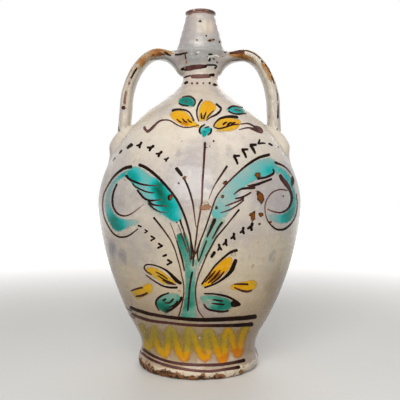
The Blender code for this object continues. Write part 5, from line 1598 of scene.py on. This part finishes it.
tickShapes = {
    "ticklambda": [[(0.5, 0.42), (0.14, 0.04), (-0.5, -0.02)], [(0.14, 0.06), (0.02, -0.24),
      (-0.08, -0.56)]],
    "ticktee": [[(-0.42, 0.44), (0.02, 0.46), (0.5, 0.54)], [(-0.34, 0.46), (0.04, -0.04), (0.34, -0.6)]],
    "tickstem": [[(0.16, 0.5), (-0.02, 0), (-0.2, -0.5)]],
    "tickangle": [[(-0.44, 0.48), (0.06, 0.18), (0.5, 0)], [(-0.48, -0.46), (0, -0.16), (0.44, -0.02)]],
}
tickSpots = [
    (114, 158.8, -6, 4.4, "tickstem"), (120.8, 151.8, -12, 4.6, "tickstem"),
    (129.8, 146.2, -30, 7.4, "tickstem"), (139.2, 145, 18, 6.6, "ticklambda"),
    (150.2, 147.6, -2, 7.2, "ticklambda"), (158.8, 153.6, -4, 6.8, "ticklambda"),
    (166.2, 159.2, -6, 5.2, "ticklambda"), (235.8, 159.6, 0, 8, "ticktee"), (244.2, 153.2, 0, 8, "ticktee"),
    (252.8, 148.9, 0, 8.6, "ticktee"), (261.4, 143.4, 62, 6.2, "ticktee"),
    (270.6, 144.4, 74, 5, "tickstem"), (279, 147.2, 60, 3.2, "tickstem"),
    (284.6, 152.6, 44, 6.6, "tickstem"), (291.6, 164, 50, 3, "tickstem"), (139.8, 226, 90, 4.4, "tickstem"),
    (146.2, 231.4, -6, 4.2, "tickangle"), (153, 238.4, 0, 5.6, "tickangle"),
    (160.2, 246, 0, 6, "tickangle"), (164.8, 255.6, -46, 5, "tickstem"),
    (169.6, 262.4, 0, 6.2, "tickangle"), (250.4, 227, 26, 8, "ticklambda"),
    (242.2, 231, 36, 7, "ticklambda"), (233, 236.8, 46, 7, "ticklambda"), (225, 243, 46, 7, "ticklambda"),
    (219.2, 248, 54, 6.8, "ticklambda"), (213.2, 254.6, -8, 7.6, "tickstem"),
]
tickWeights = {
    "ticklambda": [0.205, 0.195, 0.145], "ticktee": [0.185, 0.175, 0.13],
    "tickangle": [0.19, 0.175, 0.13], "tickstem": [0.24, 0.23, 0.17],
}
tickSet = {"load": 0.95, "wander": 0.12, "spacing": 0.0007}


def tickTree():  # one little figure at each spot, turned and sized by the spot's own values
    board = newTree("birdsFoot", {"Spots": "Object", "Figures": "Collection", "Wander": "Float"})
    spots = board.points(board.shape("Spots"))
    figures = board.add("GeometryNodeCollectionInfo", None, {
        "Collection": board.input("Figures"), "Separate Children": True, "Reset Children": True})
    drift = board.add("FunctionNodeRandomValue", {"data_type": "FLOAT"}, {2: -1.0, 3: 1.0, "Seed": 3}, 1)
    turn = board.named("turn") * -1.0 + drift * board.input("Wander")
    dabs = board.add("GeometryNodeInstanceOnPoints", None, {
        "Points": spots, "Instance": figures, "Pick Instance": True, "Instance Index": board.named("kind"),
        "Rotation": board.combine(0.0, turn, 0.0),
        "Scale": board.combine(board.named("size"), board.named("size"), board.named("size"))})
    dabs = board.realized(dabs)
    dabs = board.stored(dabs, "halfWidth", board.named("halfWidth") * board.named("size"))
    board.add("NodeGroupOutput", None, {"Geometry": dabs})
    return board


def makeTickMarks():
    figures = bpy.data.collections.new("tickFigures")
    kinds = sorted(tickShapes)
    for index, kind in enumerate(kinds):
        runs = [[Vector((x, 0.0, z)) for x, z in run] for run in tickShapes[kind]]
        halves = tickWeights[kind] * len(runs)
        count = sum(len(run) for run in runs)
        values = {"halfWidth": halves, "load": [tickSet["load"]] * count, "strokeId": [float(index)] * count}
        figure = chain(kind, runs, values)
        bpy.context.scene.collection.objects.unlink(figure)
        figures.objects.link(figure)
    spots = pointMesh("tickSpots", [fromPhoto(x, y) for x, y, *_ in tickSpots], values={
        "turn": [math.radians(turn) for _, _, turn, _, _ in tickSpots],
        "size": [size * pxSize for _, _, _, size, _ in tickSpots],
        "kind": [float(kinds.index(kind)) for *_, kind in tickSpots]})
    marks = grow("tickMarks", tickTree(), {"Spots": spots, "Figures": figures, "Wander": tickSet["wander"]})
    bpy.data.objects.remove(spots)
    for figure in list(figures.objects):
        bpy.data.objects.remove(figure)
    bpy.data.collections.remove(figures)
    return marks


# Chips that bare the clay: photo pixels, width and height in pixels, turn in degrees

chipSpots = [
    (257.4, 175, 8.4, 7.6, 0), (260.4, 197.2, 9.8, 16, 18), (253, 216.4, 6.6, 14, -8),
    (250.8, 214.6, 5, 4.4, 0), (261, 214.6, 6.6, 5, -20), (259.4, 224.2, 3.4, 3.6, 0),
    (216.6, 207.6, 4.2, 4.2, 0), (222.8, 196.4, 4.4, 5, 0), (224.8, 182.8, 7.2, 4.2, 30),
    (270.4, 222, 3.2, 2.8, 0), (170.8, 197.4, 4.2, 8.6, -8), (184.4, 177.8, 5, 4.6, 30),
]
tanSpots = [  # clay bared under a thin wash
    (205.6, 207.2, 15, 7.6, 4), (211.2, 40.2, 8.6, 4.2, 0), (186.2, 62.4, 3, 4.6, 0), (190, 14.4, 4, 2, 0),
]
pitSpots = [  # dark pits in the glaze
    (200.2, 21.4, 3.6, 3, 20), (209.6, 40.6, 4.4, 3.2, 0), (213.4, 39.6, 2.6, 2.2, 0),
    (206.4, 35.8, 2.2, 2.2, 0), (197.2, 40.2, 3, 1.6, 0), (219.4, 41.8, 2.4, 3, 0),
    (256.4, 129.6, 1.6, 1.4, 0), (124.8, 180, 1.8, 1.4, 0), (178.8, 183.4, 2.4, 2.8, 30),
    (292.6, 180.6, 5, 14, -4), (213.6, 141, 2, 2.4, 0), (209.8, 146.4, 2, 1.6, 0),
    (182, 141.4, 1.4, 1.4, 0), (225.4, 181.8, 5, 2.6, 30), (216.4, 206.8, 3, 3.4, 0),
    (206.4, 147.6, 2.6, 1.4, 0), (283, 196, 1.6, 2, 0),
]
flakeSpots = [  # pale flaked places where paint and glaze came off to a lighter layer
    (254, 190.6, 7, 2.2, -24), (233.6, 254.4, 6, 5.2, 30), (205.6, 203.4, 8, 4, 0),
    (201, 303.2, 8.6, 1.8, -14), (208.8, 300, 6.6, 1.8, -6), (179.4, 291.6, 4.2, 3.4, 20),
    (252.6, 266, 4.4, 4.4, 0), (199.6, 337.6, 3.6, 4.2, 0), (186.4, 176.6, 2.6, 2.2, 0),
    (172.2, 196.4, 2, 4.6, 0), (118.4, 234.6, 3, 2.2, 0), (243.4, 366.6, 3.4, 3.2, 0),
]


patchSet = {"roughness": 0.0022, "thickness": 0.001}
patchLooks = [  # piece, spots, finish, colours of middle and edge, where the edge begins, cover and lift
    ("flaked_places", flakeSpots, "flakedGlaze", (212, 196, 170), (168, 146, 118), (0.4, 0.9), 0.85, 0.00016),
    ("clay_chips", chipSpots, "chippedClay", (122, 68, 20), (62, 38, 18), (0.30, 0.74), 1.0, 0.00018),
    ("bared_tan", tanSpots, "baredTan", (172, 126, 94), (146, 104, 76), (0.40, 0.80), 0.85, 0.00017),
    ("glaze_pits", pitSpots, "darkPits", (56, 44, 26), (88, 72, 46), (0.40, 0.80), 0.92, 0.00020),
]


def patchTree():
    board = newTree("chippedPatch", {"Spots": "Object", "Roughness": "Float", **landingInputs})
    spots = board.points(board.shape("Spots"))
    disc = board.add("GeometryNodeMeshIcoSphere", None, {"Radius": 1.0, "Subdivisions": 4})
    x, y, z = board.split(board.position())
    reach = (x * x + z * z).math("SQRT")
    disc = board.stored(board.stored(disc, "side", y), "across", reach)
    spots = board.stored(spots, "strokeId", board.add("GeometryNodeInputIndex"))
    patches = board.add("GeometryNodeInstanceOnPoints", None, {
        "Points": spots, "Instance": disc, "Rotation": board.combine(0.0, board.named("turn") * -1.0, 0.0),
        "Scale": board.combine(board.named("wide"), patchSet["thickness"], board.named("tall"))})
    patches = board.realized(patches)
    amount = board.input("Roughness") * board.named("across")
    patches = board.moved(patches, Offset=board.shaken(amount, board.position(), 330.0, 3.0, 0.6))
    closeTree(board, landed(board, patches))
    return board


def chippedFinish(name, middle, edge, rimAt, alpha):
    material, board = newFinish(name)
    place = board.place()
    across = board.carried("across")
    grain = board.noise(place, 420.0, 3.0, 0.65)
    # Towards the rim the middle colour turns to the edge colour; where the edge is darker, as on the clay
    # chips, this is partly painted shade of the recess
    rim = (across + (grain - 0.5) * 0.35).step(*rimAt)
    colour = board.blend(tone(*middle), tone(*edge), rim)
    colour = board.stained(colour, "clayDark", grain.step(0.56, 0.70) * 0.45)
    hollow = board.add("ShaderNodeBump", None, {"Strength": 0.8, "Distance": 0.0006,
                                                "Height": across.step(0.5, 0.95) + grain * 0.6})
    jagged = board.noise(place, 230.0, 4.0, 0.7)
    cover = (1.0 - (across + (jagged - 0.5) * 1.5).step(0.70, 0.80)) * alpha
    endFinish(board, {"Base Color": colour, "Roughness": 0.75, "Specular IOR Level": 0.15, "Alpha": cover,
                      "Normal": hollow})
    return material


def makePatches(name, spots, wall, finish, lift):
    item = pointMesh(name + "Spots", [fromPhoto(x, y) for x, y, *_ in spots], values={
        "wide": [wide * pxSize / 2 for _, _, wide, _, _ in spots],
        "tall": [tall * pxSize / 2 for _, _, _, tall, _ in spots],
        "turn": [math.radians(turn) for *_, turn in spots]})
    piece = grow(name, patchTree(), {
        "Spots": item, "Roughness": patchSet["roughness"], **landing(wall, finish, lift)})
    bpy.data.objects.remove(item)
    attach(piece, "root")
    print("patched:", name, len(piece.data.polygons), "faces")


# Pinholes and iron specks scattered over the whole fired wall

pinholeSet = {"density": 2200.0, "least": 0.00016, "most": 0.00085, "seed": 11, "lift": 0.00005}


def pinholeTree():
    board = newTree("pinholes", {"Wall": "Object", "Density": "Float", "Least": "Float", "Most": "Float",
                                 "Lift": "Float", "Seed": "Int", "Finish": "Material"})
    wall = board.shape("Wall")
    place = board.position()
    _, _, height = board.split(place)
    glazed = (1.0 - board.named("inside")) * height.step(0.012, 0.02) * (1.0 - height.step(0.438, 0.442))
    clouds = board.noise(place, 13.0, 2.0).step(0.40, 0.62)
    density = board.input("Density") * glazed * (0.25 + clouds)
    sown = board.add("GeometryNodeDistributePointsOnFaces", {"distribute_method": "RANDOM"},
                     {"Mesh": wall, "Density": density, "Seed": board.input("Seed")})
    spots = board.stored(sown, "wallNormal", sown.out("Normal"), "FLOAT_VECTOR")
    pick = board.add("FunctionNodeRandomValue", {"data_type": "FLOAT"},
                     {2: 0.0, 3: 1.0, "Seed": board.input("Seed")}, 1)
    size = board.input("Least") + (board.input("Most") - board.input("Least")) * pick ** 4.0
    spots = board.stored(spots, "strokeId", pick)
    cone = board.add("GeometryNodeMeshCone", None,
                     {"Vertices": 9, "Radius Top": 0.0, "Radius Bottom": 1.0, "Depth": 1.0})
    _, _, level = board.split(board.position())
    cone = board.stored(cone, "across", 1.0 - level)
    flat = board.combine(size, size, board.input("Lift") * 2.0)
    dots = board.add("GeometryNodeInstanceOnPoints", None, {
        "Points": spots, "Instance": cone, "Rotation": sown.out("Rotation"), "Scale": flat})
    dots = board.realized(dots)
    down = board.scaled(board.named("wallNormal", "FLOAT_VECTOR"), board.input("Lift") * -1.0)
    dots = board.moved(dots, Offset=down)
    dots = board.facing(dots, board.named("wallNormal", "FLOAT_VECTOR"))
    closeTree(board, dots)
    return board


def pinholeFinish():
    material, board = newFinish("ironSpecks")
    pick = board.carried("strokeId")
    place = board.place()
    dark = board.noise(board.combine(pick * 91.0, 0.0, 0.0), 1.0).step(0.35, 0.65)
    colour = board.stained(shade("pinhole"), "pinholeDark", dark)
    cover = 0.35 + 0.5 * board.noise(place, 800.0, 2.0)
    endFinish(board, {"Base Color": colour, "Roughness": 0.55, "Alpha": cover})
    return material


def joinedCopy(name, items):  # everything that paint can land on, as one object
    copies = []
    for item in items:
        copy = item.copy()
        copy.data = item.data.copy()
        bpy.context.scene.collection.objects.link(copy)
        copies.append(copy)
    bpy.ops.object.select_all(action="DESELECT")
    for copy in copies:
        copy.select_set(True)
    bpy.context.view_layer.objects.active = copies[0]
    bpy.ops.object.join()
    copies[0].name = name
    return copies[0]


paints = {  # load of pigment and the colour it gives, from thin to thick
    "manganese": [(0.0, (166, 130, 122)), (0.32, (132, 92, 88)), (0.6, (86, 52, 47)), (0.88, (34, 20, 15))],
    "grimeAndShade": [(0.0, (150, 126, 92)), (0.35, (118, 92, 56)), (0.7, (70, 50, 28)), (0.95, (30, 20, 12))],
    "creamGlazeAndHighlight": [(0.0, (222, 206, 188)), (0.6, (228, 216, 202)), (1.0, (240, 236, 228))],
    "copper": [(0.0, (176, 210, 204)), (0.22, (142, 198, 194)), (0.42, (88, 184, 180)),
               (0.58, (24, 172, 170)), (0.70, (4, 154, 146)), (0.84, (6, 128, 112)), (0.97, (4, 104, 90)),
               (1.15, (6, 84, 64))],
    "green": [(0.0, (188, 204, 186)), (0.3, (142, 190, 170)), (0.5, (90, 158, 138)), (0.7, (44, 134, 114)),
              (0.9, (20, 106, 84)), (1.1, (20, 72, 54))],
    "halo": [(0.0, (206, 190, 176)), (0.5, (224, 210, 196)), (1.0, (236, 228, 218))],
    "bleed": [(0.0, (176, 196, 184)), (0.4, (150, 196, 182))],
    "yellow": [(0.0, (214, 190, 120)), (0.25, (220, 178, 62)), (0.48, (232, 176, 30)), (0.66, (232, 158, 8)),
               (0.85, (150, 92, 10))],
    "zigzag": [(0.0, (196, 176, 84)), (0.30, (200, 170, 42)), (0.58, (220, 168, 20)), (0.82, (226, 156, 8)),
               (1.1, (216, 128, 2))],
    "haze": [(0.0, (190, 160, 70)), (0.5, (200, 160, 50))],
    "ochre": [(0.0, (204, 180, 142)), (0.3, (184, 140, 86)), (0.55, (160, 104, 50)), (0.8, (108, 66, 30)),
              (1.0, (60, 36, 18))],
}
brushTree = strokeTree()
paintWall = joinedCopy("paintWall", [skin, *handles.values(), *pads.values()])
manganese = pigment("manganeseBrown", paints["manganese"], (0.50, 1.0), (0.66, 0.86), 0.20, 0.30, 0.02)
grimeAndShade = pigment("seamGrimeAndShade", paints["grimeAndShade"], (0.15, 1.0), (0.50, 0.90), 0.45, 0.45, 0.0)
creamGlazeAndHighlight = pigment("paleGlazeAndHighlight", paints["creamGlazeAndHighlight"], (0.05, 0.92), (0.30, 0.92), 0.45, 0.35, 0.2)
copper = wash("copperGreen", paints["copper"], (0.44, 1.0), 0.20)
green = wash("stemGreen", paints["green"], (0.30, 1.0), 0.32)
halo = wash("paleGlow", paints["halo"], (0.05, 0.62), 0.6, 0.0)
bleed = wash("copperBleed", paints["bleed"], (0.0, 0.55), 0.24, 0.0)
yellow = wash("antimonyYellow", paints["yellow"], (0.30, 1.0), 0.34, 0.30, 0.2)
olive = thinYellow()
kiln = wash("strapOchre", paints["ochre"], (0.10, 1.0), 0.5, 0.2)
haze = wash("yellowHaze", paints["haze"], (0.22, 0.42), 0.7, 0.0)
poolPieces = [  # pools, first word of their names, paint, lift, softness, spread, reach along a line
    (copperTints, "copper_tint_", bleed, "tintLift", 0.0110, 90, 0.0),
    (copperPools, "copper_", copper, "poolLift", 0.0054, 44, 0.0),
    (stemPools, "copper_", green, "poolLift", 0.0040, 16, 0.0),
    (yellowPools, "yellow_", yellow, "poolLift", 0.0050, 20, 0.0),
    (strapStains, "stain_", kiln, "poolLift", 0.0040, 14, 0.0),
    (zigzagHaze, "yellow_", haze, "poolLift", 0.0090, 20, 0.0),
    ({"zigzag": (zigzagPath, zigzagLoads)}, "yellow_", olive, "washLift", 0.0074, 12, 0.0066),
]
for pools, prefix, paint, lift, softness, spread, reach in poolPieces:
    spreadPools(pools, prefix, paintWall, paint, brushSet[lift], softness, spread, reach)
# a painted highlight beside the stem
brushOn("soft_lights", softLights, paintWall, halo, brushSet["washLift"], 12)
# paler glaze and painted highlights
brushOn("pale_runs", paleRunsAndHighlights, paintWall, creamGlazeAndHighlight, brushSet["washLift"], 12)
linePieces = {
    "plume_lines": leftPlumeLines + rightPlumeLines, "stem_and_flower_lines": stemLines + flowerLines,
    "leaf_lines": leafLines, "neck_lines": neckLines, "strap_lines": strapLines, "foot_bands": bandLines,
    "neck_ticks": neckTicks,
}
for name, strokes in linePieces.items():
    weight = brushSet["weights"].get(name, brushSet["lineWeight"])
    brushOn(name, strokes, paintWall, manganese, brushSet["lineLift"], 8, weight=weight)
brushOn("foot_bands_behind", bandBacks, skin, manganese, brushSet["lineLift"], 8, unrolled=0.080)
brushOn("birds_foot_ticks", makeTickMarks(), paintWall, manganese, brushSet["lineLift"], 8,
        spacing=tickSet["spacing"])
# grime at the seams, and painted shade in the creases
brushOn("seam_grime", grimeAndCreaseShade, paintWall, grimeAndShade, brushSet["lineLift"], 8, weight=1.1, grazing=0.03)
for name, spots, *look, lift in patchLooks:
    makePatches(name, spots, paintWall, chippedFinish(*look), lift)
pinholes = grow("pinholes", pinholeTree(), {
    "Wall": skin, "Density": pinholeSet["density"], "Least": pinholeSet["least"], "Most": pinholeSet["most"],
    "Lift": pinholeSet["lift"], "Seed": pinholeSet["seed"], "Finish": pinholeFinish()})
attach(pinholes, "root")
bpy.data.objects.remove(paintWall)
print("painted, pinholes:", len(pinholes.data.polygons), "faces")


# Floor, light and background

studioLook = {
    "reach": 6.0,
    "floor": (236, 234, 230),
    "floorGlow": (116, 112, 104),  # what the floor gives back onto the jug
    "fade": (0.30, 1.70),  # how far from the jug the floor runs out into the white background
    "world": 0.23,
    "lamps": {  # place, size and power
        "keyLamp": ((-0.22, -1.55, 1.0), (1.2, 1.1), 24.0),
        "fillLamp": ((0.95, -1.25, 0.6), (0.8, 0.9), 3.6),
        "backLamp": ((0.3, 2.2, 1.5), (2.0, 1.4), 13.0),
    },
    "aim": (0.0, 0.0, 0.24),
}


def seen(board):  # 1 for what shows straight, in a reflection or through something clear
    path = board.add("ShaderNodeLightPath")
    return path.out("Is Camera Ray").most(path.out("Is Glossy Ray")).most(path.out("Is Transmission Ray"))


def makeFloor():
    mesh = bpy.data.meshes.new("floor")
    reach = studioLook["reach"]
    corners = [(x * reach, y * reach, 0.0) for x, y in ((-1, -1), (1, -1), (1, 1), (-1, 1))]
    mesh.from_pydata(corners, [], [(0, 1, 2, 3)])
    floor = addToScene("studioFloor", mesh)
    material, board = newFinish("paleFloor")
    shown = seen(board)
    colour = board.blend(tone(*studioLook["floorGlow"]), tone(*studioLook["floor"]), shown)
    # Far from the jug the floor glows white where it shows straight or in a reflection, so that it runs into
    # the background
    away = board.vector("LENGTH", board.place(), out="Value")
    faded = board.blend(tone(0, 0, 0), tone(255, 255, 255), away.step(*studioLook["fade"]) * shown)
    endFinish(board, {"Base Color": colour, "Roughness": 0.6, "Emission Color": faded,
                      "Emission Strength": 1.0})
    mesh.materials.append(material)


def makeWorld():
    world = bpy.data.worlds.new("studioWorld")
    world.use_nodes = True
    world.node_tree.nodes.clear()
    board = Board(world.node_tree)
    shown = seen(board)
    strength = shown * (1.0 - studioLook["world"]) + studioLook["world"]
    ground = board.add("ShaderNodeBackground", None, {"Color": (1.0, 1.0, 1.0, 1.0), "Strength": strength})
    board.add("ShaderNodeOutputWorld", None, {"Surface": ground})
    bpy.context.scene.world = world


def makeLamp(name, place, size, power):
    lamp = bpy.data.lights.new(name, "AREA")
    lamp.shape = "RECTANGLE"
    lamp.size, lamp.size_y = size
    lamp.energy = power
    item = addToScene(name, lamp)
    item.location = place
    aim = Vector(studioLook["aim"]) - Vector(place)
    item.rotation_euler = aim.to_track_quat("-Z", "Y").to_euler()


makeFloor()
makeWorld()
for lampName, values in studioLook["lamps"].items():
    makeLamp(lampName, *values)
bpy.context.scene.view_settings.view_transform = "Standard"
print("studio set")
